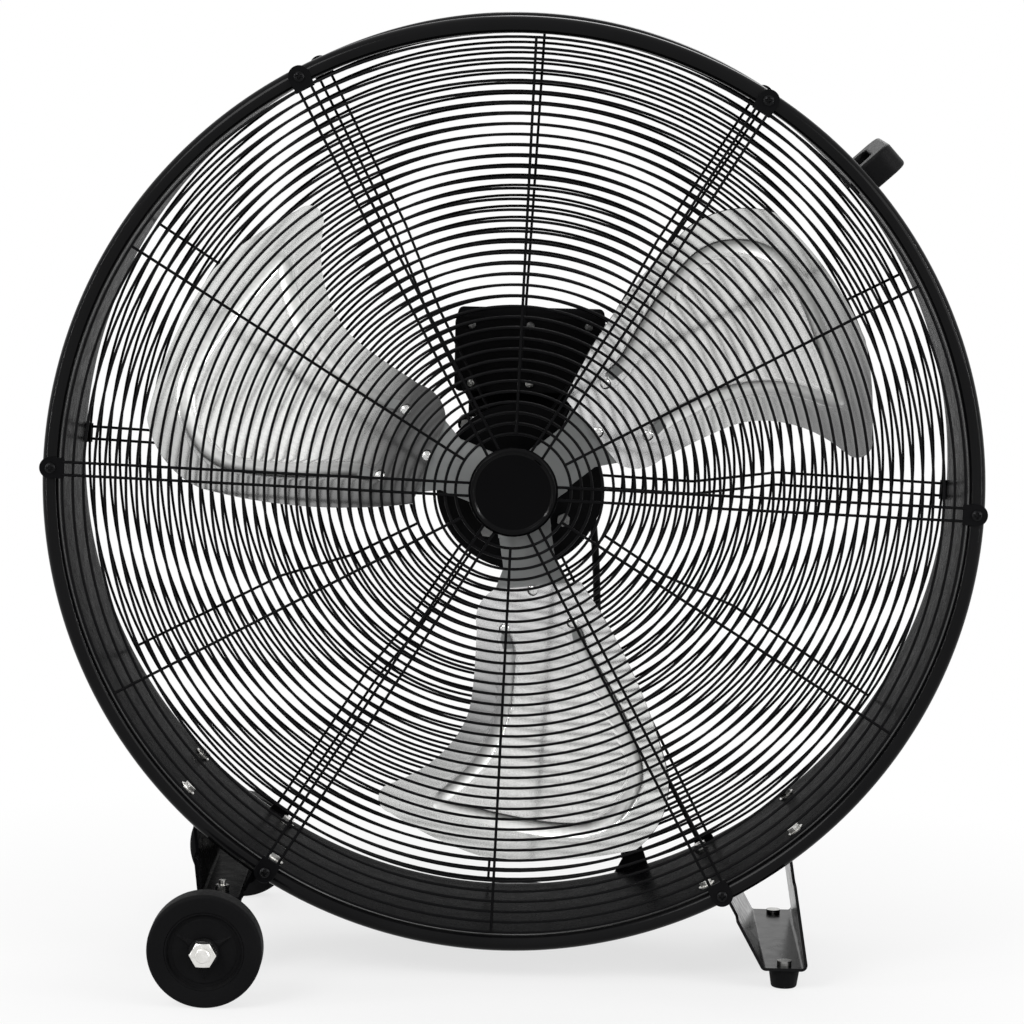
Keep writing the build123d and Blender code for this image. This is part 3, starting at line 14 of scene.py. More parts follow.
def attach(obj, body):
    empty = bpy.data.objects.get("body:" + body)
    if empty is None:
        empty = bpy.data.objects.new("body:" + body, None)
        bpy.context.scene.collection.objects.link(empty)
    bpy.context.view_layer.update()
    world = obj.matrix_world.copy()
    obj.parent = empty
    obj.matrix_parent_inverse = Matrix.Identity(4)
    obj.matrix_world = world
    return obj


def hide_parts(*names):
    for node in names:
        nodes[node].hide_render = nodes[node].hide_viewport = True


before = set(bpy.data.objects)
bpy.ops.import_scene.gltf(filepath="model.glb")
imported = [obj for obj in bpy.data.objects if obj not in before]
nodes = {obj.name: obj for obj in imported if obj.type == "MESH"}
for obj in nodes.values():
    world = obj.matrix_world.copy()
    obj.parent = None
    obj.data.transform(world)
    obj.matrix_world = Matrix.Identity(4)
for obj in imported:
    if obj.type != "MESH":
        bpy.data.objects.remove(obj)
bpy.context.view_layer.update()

MM = 0.001
axis_height = 410.0
rim_radius = 378.0
curl_radius = 7.0
curl_depth = 93.0
wire_radius = 1.2
ring_count = 38
ring_radii = 47.1 + 8.68 * np.arange(ring_count)
ring_last = ring_radii[-1]
ring_depth = 98.8
dish_floor = -0.3
single_depth = 99.7
pair_depth = 101.2
pair_offset = 5.3
front_turn = -1.7
rear_turn = -2.6
dish_first = 5
dish_count = 22
motor_place = np.array([4.5, 0.0, -8.7])
motor_ring = 63.5
bend_radius = 600.0
bend_depth = -618.757
bend_width = -165.382
blade_turns = [39.0, 159.0, 279.0]
axle_x = -239.2
axle_z = 46.6
wheel_inner = 184.5
wheel_outer = 209.5

# ---------------------------------------------------------------- surfaces


def grid_quads(rows, cols, close_rows=False, close_cols=False):
    """Corner numbers of each cell of a grid; a closed direction joins its last line to its first."""
    r = np.arange(rows if close_rows else rows - 1)[:, None]
    c = np.arange(cols if close_cols else cols - 1)[None, :]
    r2, c2 = (r + 1) % rows, (c + 1) % cols
    cells = [r * cols + c, r2 * cols + c, r2 * cols + c2, r * cols + c2]
    return np.stack(cells, -1).reshape(-1, 4)


def fan(pole, line, turn_round=False):
    """Triangles from one pole point to each step of a closed line."""
    after = np.roll(line, -1)
    ends = (after, line) if turn_round else (line, after)
    return np.stack([np.full(len(line), pole), *ends], -1)


def capped_grid(rows, steps):
    """Faces of a grid closed along its rows, and the fans from its first and last row to the two poles
    listed after its points."""
    line, size = np.arange(steps), rows * steps
    return [
        grid_quads(rows, steps, close_cols=True),
        fan(size, line), fan(size + 1, line + size - steps, turn_round=True),
    ]


def outward(verts, groups):
    """Faces turned round where the enclosed volume, the sum of corner triple products, is negative."""
    volume = 0.0
    for faces in groups:
        first = verts[faces[:, 0]]
        for step in range(1, faces.shape[1] - 1):
            across = np.cross(verts[faces[:, step]], verts[faces[:, step + 1]])
            volume += np.einsum("ij,ij->", first, across)
    return verts, ([faces[:, ::-1] for faces in groups] if volume < 0 else groups)


def filleted(corners, radii, steps=6, closed=True):
    """Line whose corners are arcs: the rational quadratic between both tangent points, its middle point
    the corner, weighted by the cosine of half the turn."""
    spots = np.asarray(corners, float)
    before, after = np.roll(spots, 1, 0) - spots, np.roll(spots, -1, 0) - spots
    before /= np.linalg.norm(before, axis=1, keepdims=True)
    after /= np.linalg.norm(after, axis=1, keepdims=True)
    half = 0.5 * np.arccos(np.clip(-(before * after).sum(1), -1, 1))
    reach = (np.broadcast_to(radii, len(spots)) * np.tan(half))[:, None]
    start, end = spots + before * reach, spots + after * reach
    s = np.linspace(0, 1, steps)[None, :, None]
    bulge = 2 * np.cos(half)[:, None, None] * s * (1 - s)
    arcs = (1 - s) ** 2 * start[:, None] + bulge * spots[:, None] + s**2 * end[:, None]
    arcs = arcs / ((1 - s) ** 2 + bulge + s**2)
    if closed:
        return arcs.reshape(-1, spots.shape[1])
    return np.concatenate([spots[:1], arcs[1:-1].reshape(-1, spots.shape[1]), spots[-1:]])


def turned(profile, steps, poles=None, centre=(0.0, axis_height)):
    """Surface of revolution about a line along Y: (radius, depth) points carried round the centre. A
    profile without poles is a closed loop; poles are the depths where its two ends meet the axis."""
    profile = np.asarray(profile, float)
    turn = np.arange(steps) * 2 * np.pi / steps
    radius, depth = profile[:, :1], profile[:, 1:]
    x = centre[0] + radius * np.cos(turn)
    z = centre[1] + radius * np.sin(turn)
    verts = np.stack([x, np.broadcast_to(depth, x.shape), z], -1).reshape(-1, 3)
    rows = len(profile)
    if poles is None:
        return outward(verts, [grid_quads(rows, steps, close_rows=True, close_cols=True)])
    ends = [(centre[0], depth_at_pole, centre[1]) for depth_at_pole in poles]
    return outward(np.concatenate([verts, ends]), capped_grid(rows, steps))


def wire_rings(radii, depths, steps=176, sides=8):
    """Round wire rings: the torus formula for every ring at once, (radius + wire cos) round the axis and
    depth + wire sin along it."""
    turn = (np.arange(steps) * 2 * np.pi / steps)[None, :, None]
    side = (np.arange(sides) * 2 * np.pi / sides)[None, None, :]
    reach = np.asarray(radii, float)[:, None, None] + wire_radius * np.cos(side)
    depth = np.asarray(depths, float)[:, None, None] + wire_radius * np.sin(side)
    depth = np.broadcast_to(depth, (len(radii), steps, sides))
    verts = np.stack([reach * np.cos(turn), depth, axis_height + reach * np.sin(turn)], -1)
    quads = grid_quads(steps, sides, close_rows=True, close_cols=True)
    shift = (np.arange(len(radii)) * steps * sides)[:, None, None]
    return outward(verts.reshape(-1, 3), [(quads[None] + shift).reshape(-1, 4)])


def bar(path, across, radius, sides=10):
    """Round bar: a circle square to the path, spanned by the fixed across direction and the path's
    normal, with a flat cap at each end."""
    path = np.asarray(path, float)
    along = np.gradient(path, axis=0)
    along /= np.linalg.norm(along, axis=1, keepdims=True)
    normal = np.cross(across, along)
    side = (np.arange(sides) * 2 * np.pi / sides)[None, :, None]
    skin = path[:, None] + radius * (np.cos(side) * normal[:, None] + np.sin(side) * np.asarray(across))
    verts = np.concatenate([skin.reshape(-1, 3), path[:1], path[-1:]])
    return outward(verts, capped_grid(len(path), sides))


def spun(surface, degrees):
    """Copies of a surface turned about the drum's axis."""
    verts, groups = surface
    turn = np.radians(np.asarray(degrees, float))[:, None]
    x, z = verts[None, :, 0], verts[None, :, 2] - axis_height
    y = np.broadcast_to(verts[None, :, 1], (len(turn), len(verts)))
    spots = [x * np.cos(turn) - z * np.sin(turn), y, axis_height + x * np.sin(turn) + z * np.cos(turn)]
    shift = (np.arange(len(turn)) * len(verts))[:, None, None]
    copies = [(faces[None] + shift).reshape(-1, faces.shape[1]) for faces in groups]
    return np.stack(spots, -1).reshape(-1, 3), copies


def tab_plate(depth_low, depth_high, edge=0.4):
    """Screw tab of a double spoke: a straight run with a round end, carried through the sheet and drawn
    in by the edge width along its normals at both faces."""
    arc = np.radians(np.linspace(-90, 90, 21))
    root, root_half, end_radius, pole = 366.2, 8.2, 9.0, 374.0
    outline = np.concatenate([
        [[root, root_half], [root, -root_half]],
        np.stack([rim_radius + end_radius * np.cos(arc), end_radius * np.sin(arc)], -1),
    ])
    along = np.roll(outline, -1, 0) - np.roll(outline, 1, 0)
    normal = np.stack([along[:, 1], -along[:, 0]], -1) / np.linalg.norm(along, axis=1, keepdims=True)
    insets = np.array([edge, 0.0, 0.0, edge])
    depths = np.array([depth_low, depth_low + edge, depth_high - edge, depth_high])
    flat = outline[None] - insets[:, None, None] * normal[None]
    depth = np.broadcast_to(depths[:, None], flat.shape[:2])
    verts = np.stack([flat[..., 0], depth, axis_height + flat[..., 1]], -1).reshape(-1, 3)
    poles = [(pole, depth_low, axis_height), (pole, depth_high, axis_height)]
    return outward(np.concatenate([verts, poles]), capped_grid(len(depths), len(outline)))


def arc_through(start, middle, end, steps):
    """Arc of the circle through three points, from the first to the last."""
    (ax, ay), (bx, by), (cx, cy) = start, middle, end
    d = 2 * (ax * (by - cy) + bx * (cy - ay) + cx * (ay - by))
    a2, b2, c2 = ax * ax + ay * ay, bx * bx + by * by, cx * cx + cy * cy
    middle_x = (a2 * (by - cy) + b2 * (cy - ay) + c2 * (ay - by)) / d
    middle_y = (a2 * (cx - bx) + b2 * (ax - cx) + c2 * (bx - ax)) / d
    radius = math.hypot(ax - middle_x, ay - middle_y)
    first = math.atan2(ay - middle_y, ax - middle_x)
    turn_middle = (math.atan2(by - middle_y, bx - middle_x) - first) % (2 * math.pi)
    turn_end = (math.atan2(cy - middle_y, cx - middle_x) - first) % (2 * math.pi)
    if turn_middle > turn_end:
        turn_end -= 2 * math.pi
    turn = first + np.linspace(0, turn_end, steps)
    return np.stack([middle_x + radius * np.cos(turn), middle_y + radius * np.sin(turn)], -1)


def smooth_line(knots, steps):
    """Cubic line through the knots, with each knot's slope taken from its two neighbours."""
    knots = np.asarray(knots, float)
    slope = np.gradient(knots, axis=0)[:, None]
    s = np.linspace(0, 1, steps, endpoint=False)[None, :, None]
    here, there = knots[:-1, None], knots[1:, None]
    line = (1 + 2 * s) * (1 - s) ** 2 * here + s * (1 - s) ** 2 * slope[:-1]
    line = line + s**2 * (3 - 2 * s) * there + s**2 * (s - 1) * slope[1:]
    return np.concatenate([line.reshape(-1, 2), knots[-1:]])


def even_steps(line, count):
    """The closed line again, as points evenly spaced along it."""
    ring = np.concatenate([line, line[:1]])
    length = np.concatenate([[0], np.cumsum(np.linalg.norm(np.diff(ring, axis=0), axis=1))])
    at = np.arange(count) * length[-1] / count
    return np.stack([np.interp(at, length, ring[:, 0]), np.interp(at, length, ring[:, 1])], -1)


def blade_outline(count):
    """Edge of a blade in (length, width): bowed trailing edge, round shoulder, tip circle, lobe, hollow
    leading edge and heel."""
    tip = np.radians(np.linspace(10.4, -14.0, 40))
    tip = 313.0 * np.stack([np.cos(tip), np.sin(tip)], -1)
    hollow = [
        (234, -144), (229, -126), (221, -108), (210, -92), (196, -78), (178, -67), (150, -59), (110, -51),
    ]
    return even_steps(np.concatenate([
        arc_through((79, 40), (160, 73.5), (245, 91), 24)[:-1],
        arc_through((245, 91), (284, 79.5), tip[0], 16)[:-1],
        tip[:-1],
        arc_through(tip[-1], (283, -113), (258, -146), 16)[:-1],
        arc_through((258, -146), (246, -154), (234, -144), 12)[:-1],
        smooth_line(hollow, 8)[:-1],
        arc_through((110, -51), (90, -46), (79, -32), 12),
    ]), count)


# Edge of the pressed panel in (length, width). Knots are repeated past both ends to close the smooth line.
panel_edge = np.array([
    (110, 24), (137, 33), (168, 46), (199, 57), (231, 64), (248, 63), (260, 58), (273, 48), (282, 36), (288, 22),
    (289, 8), (286, -17), (278, -47), (268, -76), (261, -95), (255, -104), (248, -97), (241, -86), (226, -67),
    (206, -51), (182, -39), (156, -32), (133, -28), (110, -25),
], float)
panel_line = smooth_line(np.concatenate([panel_edge[-2:], panel_edge, panel_edge[:3]]), 4)[8:-9]


def inside_panel(spots):
    """Signed distance from the pressed panel's edge, positive inside: the nearest point of every edge,
    with the sign from how often a ray crosses the edge."""
    start, end = panel_line, np.roll(panel_line, -1, 0)
    way = end - start
    offset = spots[:, None] - start[None]
    share = np.clip((offset * way).sum(-1) / (way * way).sum(-1), 0, 1)
    gap = np.linalg.norm(offset - share[..., None] * way, axis=-1).min(1)
    straddles = (start[None, :, 1] > spots[:, None, 1]) != (end[None, :, 1] > spots[:, None, 1])
    rise = np.where(way[:, 1] == 0, 1, way[:, 1])
    crossing = start[:, 0] + (spots[:, None, 1] - start[:, 1]) * way[:, 0] / rise
    odd = (straddles & (spots[:, None, 0] < crossing)).sum(1) % 2
    return np.where(odd == 1, gap, -gap)


def soft_step(value):
    """Smooth step from 0 to 1: 3 v squared minus 2 v cubed."""
    value = np.clip(value, 0, 1)
    return value * value * (3 - 2 * value)


def bent(width):
    """Depth of the bent blade at a width: the front of a cylinder along the blade's length."""
    return bend_depth + np.sqrt(bend_radius**2 - (width - bend_width) ** 2)


def blade_lines(count, middle, groove_half, probes=161):
    """Grid of a blade in (length, width): rays from an inner point to the outline, in three zones of
    shares, up to the groove, across it and out to the edge. A probe along each ray finds the panel edge."""
    rays = blade_outline(count)[None] - middle
    probe = np.linspace(0, 1, probes)[:, None]
    probed = inside_panel((middle + probe[..., None] * rays).reshape(-1, 2)).reshape(probes, count)
    last = np.clip((probed > 0).sum(0) - 1, 0, probes - 2)
    here, there = probed[last, np.arange(count)], probed[last + 1, np.arange(count)]
    edge_share = (last + here / (here - there)) / (probes - 1)
    reach = 1.6 * groove_half / np.linalg.norm(rays[0], axis=1)
    low, high = edge_share - reach, np.minimum(edge_share + reach, 0.5 + 0.5 * edge_share)
    shares = np.concatenate([
        np.linspace(0, 1, 24)[1:-1, None] * low,
        low + np.linspace(0, 1, 26)[:-1, None] * (high - low),
        high + np.linspace(0, 1, 14)[:, None] * (1 - high),
    ])
    return middle + shares[..., None] * rays


def blade_sheet(count=330, thick=1.6, press=1.0, slope=11.0, groove=3.1, groove_half=8.0):
    """Pressed blade: the flat grid bent round a cylinder, pressed back inside the panel edge by a smooth
    step, with a groove of one cosine wave along that edge; both fade towards the root, and the rear face
    lies one sheet behind. Returns the surface, and (length, width) and the shares of the panel and of the
    groove at every point."""
    middle = np.array([205.0, -2.0])
    panel_start, panel_fade = 116, 70
    crease_start, crease_fade = 113, 9
    lines = blade_lines(count, middle, groove_half)
    rows = len(lines)
    flat = np.concatenate([lines.reshape(-1, 2), middle[None]])
    inside = inside_panel(flat)
    panel = soft_step(inside / slope + 0.5) * soft_step((flat[:, 0] - panel_start) / panel_fade)
    crease = 0.5 + 0.5 * np.cos(np.pi * np.clip(inside / groove_half, -1, 1))
    crease = crease * soft_step((flat[:, 0] - crease_start) / crease_fade)
    raised = -press * panel - groove * crease
    depth = bent(flat[:, 1])
    normal = np.stack([bend_width - flat[:, 1], bend_depth - depth], -1) / bend_radius
    front = np.stack([flat[:, 0], depth, axis_height + flat[:, 1]], -1)
    front[:, 2] += raised * normal[:, 0]
    front[:, 1] += raised * normal[:, 1]
    rear = front.copy()
    rear[:, 2] -= thick * normal[:, 0]
    rear[:, 1] -= thick * normal[:, 1]
    quads = grid_quads(rows, count, close_cols=True)
    size = rows * count + 1
    line = np.arange(count)
    rim = line + (rows - 1) * count
    edge = np.stack([rim, rim + size, np.roll(rim, -1) + size, np.roll(rim, -1)], -1)
    groups = [
        quads, fan(size - 1, line), edge,
        quads[:, ::-1] + size, fan(2 * size - 1, line + size, turn_round=True),
    ]
    surface = outward(np.concatenate([front, rear]), groups)
    return surface, np.tile(flat, (2, 1)), np.tile(panel, 2), np.tile(crease, 2)


def strap_loop(thick=1.0, bend=4.0):
    """Cord tie: a flat strap carried round a rounded rectangle that holds the coil's turns, an outer and
    an inner line at each edge of the strap."""
    near, far, low, high = 191.35, 214.65, 0.08, 16.05
    left, right = 7.5, 12.5
    corners = np.array([(near, low), (far, low), (far, high), (near, high)])
    inward = thick * np.array([(1, 1), (-1, 1), (-1, -1), (1, -1)])
    outer, inner = filleted(corners, bend, 8), filleted(corners + inward, bend - thick, 8)
    lines = [(left, outer), (right, outer), (right, inner), (left, inner)]
    verts = np.stack([np.column_stack([np.full(len(line), x), line]) for x, line in lines])
    return outward(verts.reshape(-1, 3), [grid_quads(4, len(outer), close_rows=True, close_cols=True)])


def second_finish(thing, finish, first, stop):
    """A second material on the faces from first up to stop."""
    thing.data.materials.append(finish)
    coats = np.zeros(len(thing.data.polygons), np.int32)
    coats[first:stop] = 1
    thing.data.polygons.foreach_set("material_index", coats)


def piece(name, surfaces, finish, body, stands_for, sharp=35.0, uv=None):
    """Object at the origin from surfaces in millimetres, shaded smooth but for edges over the sharp
    angle, riding on a body in place of the CAD nodes."""
    starts = np.cumsum([0] + [len(verts) for verts, _ in surfaces[:-1]])
    verts = np.concatenate([verts for verts, _ in surfaces]) * MM
    faces = [face for (_, groups), start in zip(surfaces, starts) for group in groups
             for face in (group + start).tolist()]
    mesh = bpy.data.meshes.new(name)
    mesh.from_pydata(verts.tolist(), [], faces)
    mesh.shade_smooth()
    mesh.set_sharp_from_angle(angle=math.radians(sharp))
    if uv is not None:
        corner = np.empty(len(mesh.loops), np.int32)
        mesh.loops.foreach_get("vertex_index", corner)
        layer = mesh.uv_layers.new(name="sheet")
        layer.data.foreach_set("uv", (uv[corner] * MM).astype(np.float32).ravel())
    mesh.materials.append(finish)
    thing = bpy.data.objects.new(name, mesh)
    bpy.context.scene.collection.objects.link(thing)
    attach(thing, body)
    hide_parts(*stands_for)
    return thing


# ---------------------------------------------------------------- finishes


def new_group(name, inputs, outputs):
    """Empty shader node group with these sockets; returns the tree, its input node and output node."""
    tree = bpy.data.node_groups.new(name, "ShaderNodeTree")
    for label, kind, value in inputs:
        socket = tree.interface.new_socket(label, in_out="INPUT", socket_type=kind)
        if value is not None:
            socket.default_value = value
    for label in outputs:
        tree.interface.new_socket(label, in_out="OUTPUT", socket_type="NodeSocketFloat")
    return tree, tree.nodes.new("NodeGroupInput"), tree.nodes.new("NodeGroupOutput")


def noise(tree, vector, scale, detail, roughness=0.55):
    """Noise texture node on this vector, its scale a number or a socket."""
    node = tree.nodes.new("ShaderNodeTexNoise")
    tree.links.new(vector, node.inputs["Vector"])
    if isinstance(scale, (int, float)):
        node.inputs["Scale"].default_value = scale
    else:
        tree.links.new(scale, node.inputs["Scale"])
    node.inputs["Detail"].default_value = detail
    node.inputs["Roughness"].default_value = roughness
    return node.outputs["Fac"]


def spread(tree, value, low, high, to_low=0.0, to_high=1.0):
    """Map Range node: low to high becomes to_low to to_high, clamped."""
    node = tree.nodes.new("ShaderNodeMapRange")
    tree.links.new(value, node.inputs["Value"])
    for label, number in (("From Min", low), ("From Max", high), ("To Min", to_low), ("To Max", to_high)):
        node.inputs[label].default_value = number
    return node.outputs["Result"]


def maths(tree, operation, first, second):
    """Math node of two sockets or numbers."""
    node = tree.nodes.new("ShaderNodeMath")
    node.operation = operation
    for socket, value in zip(node.inputs, (first, second)):
        if isinstance(value, (int, float)):
            socket.default_value = value
        else:
            tree.links.new(value, socket)
    return node.outputs["Value"]


def blended(tree, share, first, second):
    """Colour between two colours, each a socket or red, green and blue."""
    node = tree.nodes.new("ShaderNodeMix")
    node.data_type = "RGBA"
    tree.links.new(share, node.inputs[0])
    for socket, colour in ((node.inputs[6], first), (node.inputs[7], second)):
        if isinstance(colour, tuple):
            socket.default_value = (*colour, 1.0)
        else:
            tree.links.new(colour, socket)
    return node.outputs[2]


def coat_mottle_group():
    """Broad cloudiness, fine speckle and a bump height for painted and moulded surfaces."""
    tree, given, result = new_group(
        "coat mottle",
        [("Vector", "NodeSocketVector", None), ("Scale", "NodeSocketFloat", 40.0)],
        ["Cloud", "Speckle", "Height"],
    )
    vector, scale = given.outputs["Vector"], given.outputs["Scale"]
    tree.links.new(spread(tree, noise(tree, vector, 9.0, 4), 0.3, 0.7), result.inputs["Cloud"])
    fine = noise(tree, vector, scale, 3)
    tree.links.new(spread(tree, fine, 0.3, 0.72), result.inputs["Speckle"])
    tree.links.new(noise(tree, vector, maths(tree, "MULTIPLY", scale, 4.0), 2), result.inputs["Height"])
    return tree


def settled_dust_group():
    """Share of dust: how far the surface faces up, broken by noise."""
    tree, given, result = new_group("settled dust", [("Vector", "NodeSocketVector", None)], ["Mask"])
    facing = tree.nodes.new("ShaderNodeNewGeometry")
    split = tree.nodes.new("ShaderNodeSeparateXYZ")
    tree.links.new(facing.outputs["Normal"], split.inputs["Vector"])
    level = spread(tree, split.outputs["Z"], 0.35, 1.0)
    broken = spread(tree, noise(tree, given.outputs["Vector"], 60.0, 5), 0.35, 0.75)
    tree.links.new(maths(tree, "MULTIPLY", level, broken), result.inputs["Mask"])
    return tree


def metal_grain_group():
    """Rolling streaks along the first axis of a vector, soft smudges and small scratches."""
    tree, given, result = new_group(
        "metal grain",
        [("Vector", "NodeSocketVector", None), ("Scale", "NodeSocketFloat", 30.0)],
        ["Streak", "Smudge", "Height"],
    )
    vector, scale = given.outputs["Vector"], given.outputs["Scale"]
    stretch = tree.nodes.new("ShaderNodeMapping")
    stretch.inputs["Scale"].default_value = (0.06, 1.0, 1.0)
    tree.links.new(vector, stretch.inputs["Vector"])
    fine = noise(tree, stretch.outputs["Vector"], maths(tree, "MULTIPLY", scale, 40.0), 3)
    tree.links.new(spread(tree, fine, 0.3, 0.7), result.inputs["Streak"])
    tree.links.new(spread(tree, noise(tree, vector, scale, 4), 0.3, 0.7), result.inputs["Smudge"])
    tree.links.new(fine, result.inputs["Height"])
    return tree


coat_mottle = coat_mottle_group()
settled_dust = settled_dust_group()
metal_grain = metal_grain_group()


def new_material(name):
    """Material with a Principled shader; returns it, its tree, the shader and the Object coordinate."""
    material = bpy.data.materials.new(name)
    material.use_nodes = True
    tree = material.node_tree
    shader = tree.nodes["Principled BSDF"]
    place = tree.nodes.new("ShaderNodeTexCoord")
    return material, tree, shader, place


def placed(tree, group, vector, **values):
    """A group node on this vector with its own values."""
    node = tree.nodes.new("ShaderNodeGroup")
    node.node_tree = group
    tree.links.new(vector, node.inputs["Vector"])
    for label, value in values.items():
        node.inputs[label].default_value = value
    return node


def bumped(tree, shader, height, strength, distance):
    """Bump from a height, in metres of distance, on the shader's normal."""
    bump = tree.nodes.new("ShaderNodeBump")
    bump.inputs["Strength"].default_value = strength
    bump.inputs["Distance"].default_value = distance
    tree.links.new(height, bump.inputs["Height"])
    tree.links.new(bump.outputs["Normal"], shader.inputs["Normal"])


def coated(name, dark, light, rough, specular, scale, bump, dust=None):
    """Paint, plastic or rubber: cloudy colour, speckled roughness, a fine bump and settled dust."""
    material, tree, shader, place = new_material(name)
    shader.inputs["Specular IOR Level"].default_value = specular
    mottle = placed(tree, coat_mottle, place.outputs["Object"], Scale=scale)
    colour = blended(tree, mottle.outputs["Cloud"], dark, light)
    if dust:
        settled = placed(tree, settled_dust, place.outputs["Object"])
        share = maths(tree, "MULTIPLY", settled.outputs["Mask"], dust)
        colour = blended(tree, share, colour, (0.20, 0.19, 0.17))
    tree.links.new(colour, shader.inputs["Base Color"])
    tree.links.new(spread(tree, mottle.outputs["Speckle"], 0, 1, *rough), shader.inputs["Roughness"])
    bumped(tree, shader, mottle.outputs["Height"], bump, 0.0004)
    return material


def streaks_and_smudges(tree, grain):
    """Share of the lighter colour: a weighted sum of the grain's streaks and smudges."""
    streaks = maths(tree, "MULTIPLY", grain.outputs["Streak"], 0.45)
    return maths(tree, "ADD", streaks, maths(tree, "MULTIPLY", grain.outputs["Smudge"], 0.55))


def bare_metal(name, dark, light, rough, scale, bump):
    """Bare or plated metal: streaked and smudged colour, and smudged roughness."""
    material, tree, shader, place = new_material(name)
    shader.inputs["Metallic"].default_value = 1.0
    grain = placed(tree, metal_grain, place.outputs["Object"], Scale=scale)
    tree.links.new(blended(tree, streaks_and_smudges(tree, grain), dark, light), shader.inputs["Base Color"])
    tree.links.new(spread(tree, grain.outputs["Smudge"], 0, 1, *rough), shader.inputs["Roughness"])
    bumped(tree, shader, grain.outputs["Height"], bump, 0.0002)
    return material


def share_of(tree, label):
    """The value of a point attribute."""
    node = tree.nodes.new("ShaderNodeAttribute")
    node.attribute_name = label
    return node.outputs["Fac"]


def toned(tone, *colour):
    """A colour times a tone."""
    return tuple(tone * part for part in colour)


def blade_finish(name, tone, root, shade, length, width):
    """Rolled blade sheet on its (length, width) coordinates, with light and shade painted into its colour: the
    tone is how brightly this blade is lit, the border is a painted shade greyer than the bright panel, a painted
    shade lies along one side of the border over these ranges of length and width, and a painted dark reflection
    darkens the root; rougher in the groove."""
    material, tree, shader, place = new_material(name)
    shader.inputs["Metallic"].default_value = 1.0
    grain = placed(tree, metal_grain, place.outputs["UV"], Scale=11.0)
    split = tree.nodes.new("ShaderNodeSeparateXYZ")
    tree.links.new(place.outputs["UV"], split.inputs["Vector"])
    panel, crease = share_of(tree, "panel"), share_of(tree, "crease")
    mixed = streaks_and_smudges(tree, grain)
    # The tone is painted light, how brightly this blade is lit; the border's greyer colours are painted shade.
    bright = blended(tree, mixed, toned(tone, 0.84, 0.84, 0.825), toned(tone, 1.0, 1.0, 0.985))
    border = blended(tree, mixed, toned(tone, 0.77, 0.775, 0.76), toned(tone, 0.9, 0.905, 0.89))
    sheet = blended(tree, panel, border, bright)
    # Painted shade along one side of the border, over the given ranges of length and width.
    along, across = spread(tree, split.outputs["X"], *length), spread(tree, split.outputs["Y"], *width)
    shaded = maths(tree, "MULTIPLY", maths(tree, "MULTIPLY", along, across), maths(tree, "SUBTRACT", 1.0, panel))
    sheet = blended(tree, shaded, sheet, (shade, shade, shade))
    # Painted dark reflection of the motor and cap, fading out from the root.
    root_end, root_shade_stop = 0.112, 0.172
    past_root_shade = spread(tree, split.outputs["X"], root_end, root_shade_stop)
    tree.links.new(blended(tree, past_root_shade, (root, root, root), sheet), shader.inputs["Base Color"])
    rough = spread(tree, grain.outputs["Smudge"], 0, 1, 0.10, 0.17)
    rough = maths(tree, "ADD", rough, maths(tree, "MULTIPLY", crease, 0.5))
    tree.links.new(rough, shader.inputs["Roughness"])
    bumped(tree, shader, grain.outputs["Height"], 0.03, 0.0002)
    return material


def plug_finish():
    """Moulded plug body with plated pins: metal where the point lies beyond the plug's face."""
    material, tree, shader, place = new_material("plug body and pins")
    shader.inputs["Specular IOR Level"].default_value = 0.3
    mottle = placed(tree, coat_mottle, place.outputs["Object"], Scale=300.0)
    split = tree.nodes.new("ShaderNodeSeparateXYZ")
    tree.links.new(place.outputs["Object"], split.inputs["Vector"])
    plug_face = -0.0702
    pin = maths(tree, "LESS_THAN", split.outputs["X"], plug_face)
    body = blended(tree, mottle.outputs["Cloud"], (0.010, 0.010, 0.011), (0.020, 0.020, 0.021))
    tree.links.new(blended(tree, pin, body, (0.62, 0.60, 0.55)), shader.inputs["Base Color"])
    tree.links.new(pin, shader.inputs["Metallic"])
    tree.links.new(spread(tree, mottle.outputs["Speckle"], 0, 1, 0.3, 0.5), shader.inputs["Roughness"])
    bumped(tree, shader, mottle.outputs["Height"], 0.15, 0.0003)
    return material


deep_black = (0.0025, 0.0025, 0.003), (0.005, 0.005, 0.0055)
even_black = (0.003, 0.003, 0.0034), (0.006, 0.006, 0.0065)
soft_black = (0.003, 0.003, 0.0034), (0.007, 0.007, 0.0075)
glassy_black = (0.0016, 0.0016, 0.0019), (0.0028, 0.0028, 0.0032)
cast_black = (0.0066, 0.0066, 0.007), (0.013, 0.013, 0.0136)
worn_black = (0.005, 0.005, 0.0055), (0.009, 0.009, 0.0095)
spider_grey = (0.31, 0.32, 0.318), (0.42, 0.43, 0.428)
off_white = (0.60, 0.60, 0.57), (0.72, 0.72, 0.69)
drum_paint = coated("black drum paint", *even_black, (0.10, 0.18), 0.09, 90.0, 0.05, 0.02)
# A darker, nearly mirrorless copy of the black paint: painted shade on the drum's inner wall, the wheel leg and
# the axle hanger.
shade_copy_paint = coated("black paint with painted shade", *deep_black, (0.22, 0.34), 0.003, 90.0, 0.06)
wire_paint = coated("black wire paint", *deep_black, (0.28, 0.42), 0.05, 160.0, 0.12)
leg_paint = coated("black leg paint", *even_black, (0.16, 0.28), 0.10, 90.0, 0.10, 0.02)
motor_paint = coated("black motor paint", *soft_black, (0.34, 0.52), 0.06, 220.0, 0.30, 0.03)
spider_paint = coated("grey spider paint", *spider_grey, (0.34, 0.50), 0.30, 150.0, 0.20)
cap_plastic = coated("black cap plastic", *glassy_black, (0.16, 0.26), 0.035, 240.0, 0.10)
cap_edge = coated("polished cap edge", *glassy_black, (0.06, 0.12), 0.07, 240.0, 0.04)
box_plastic = coated("black box casting", *cast_black, (0.40, 0.55), 0.0, 420.0, 0.35)
knob_plastic = coated("black moulded plastic", *even_black, (0.34, 0.48), 0.08, 420.0, 0.35)
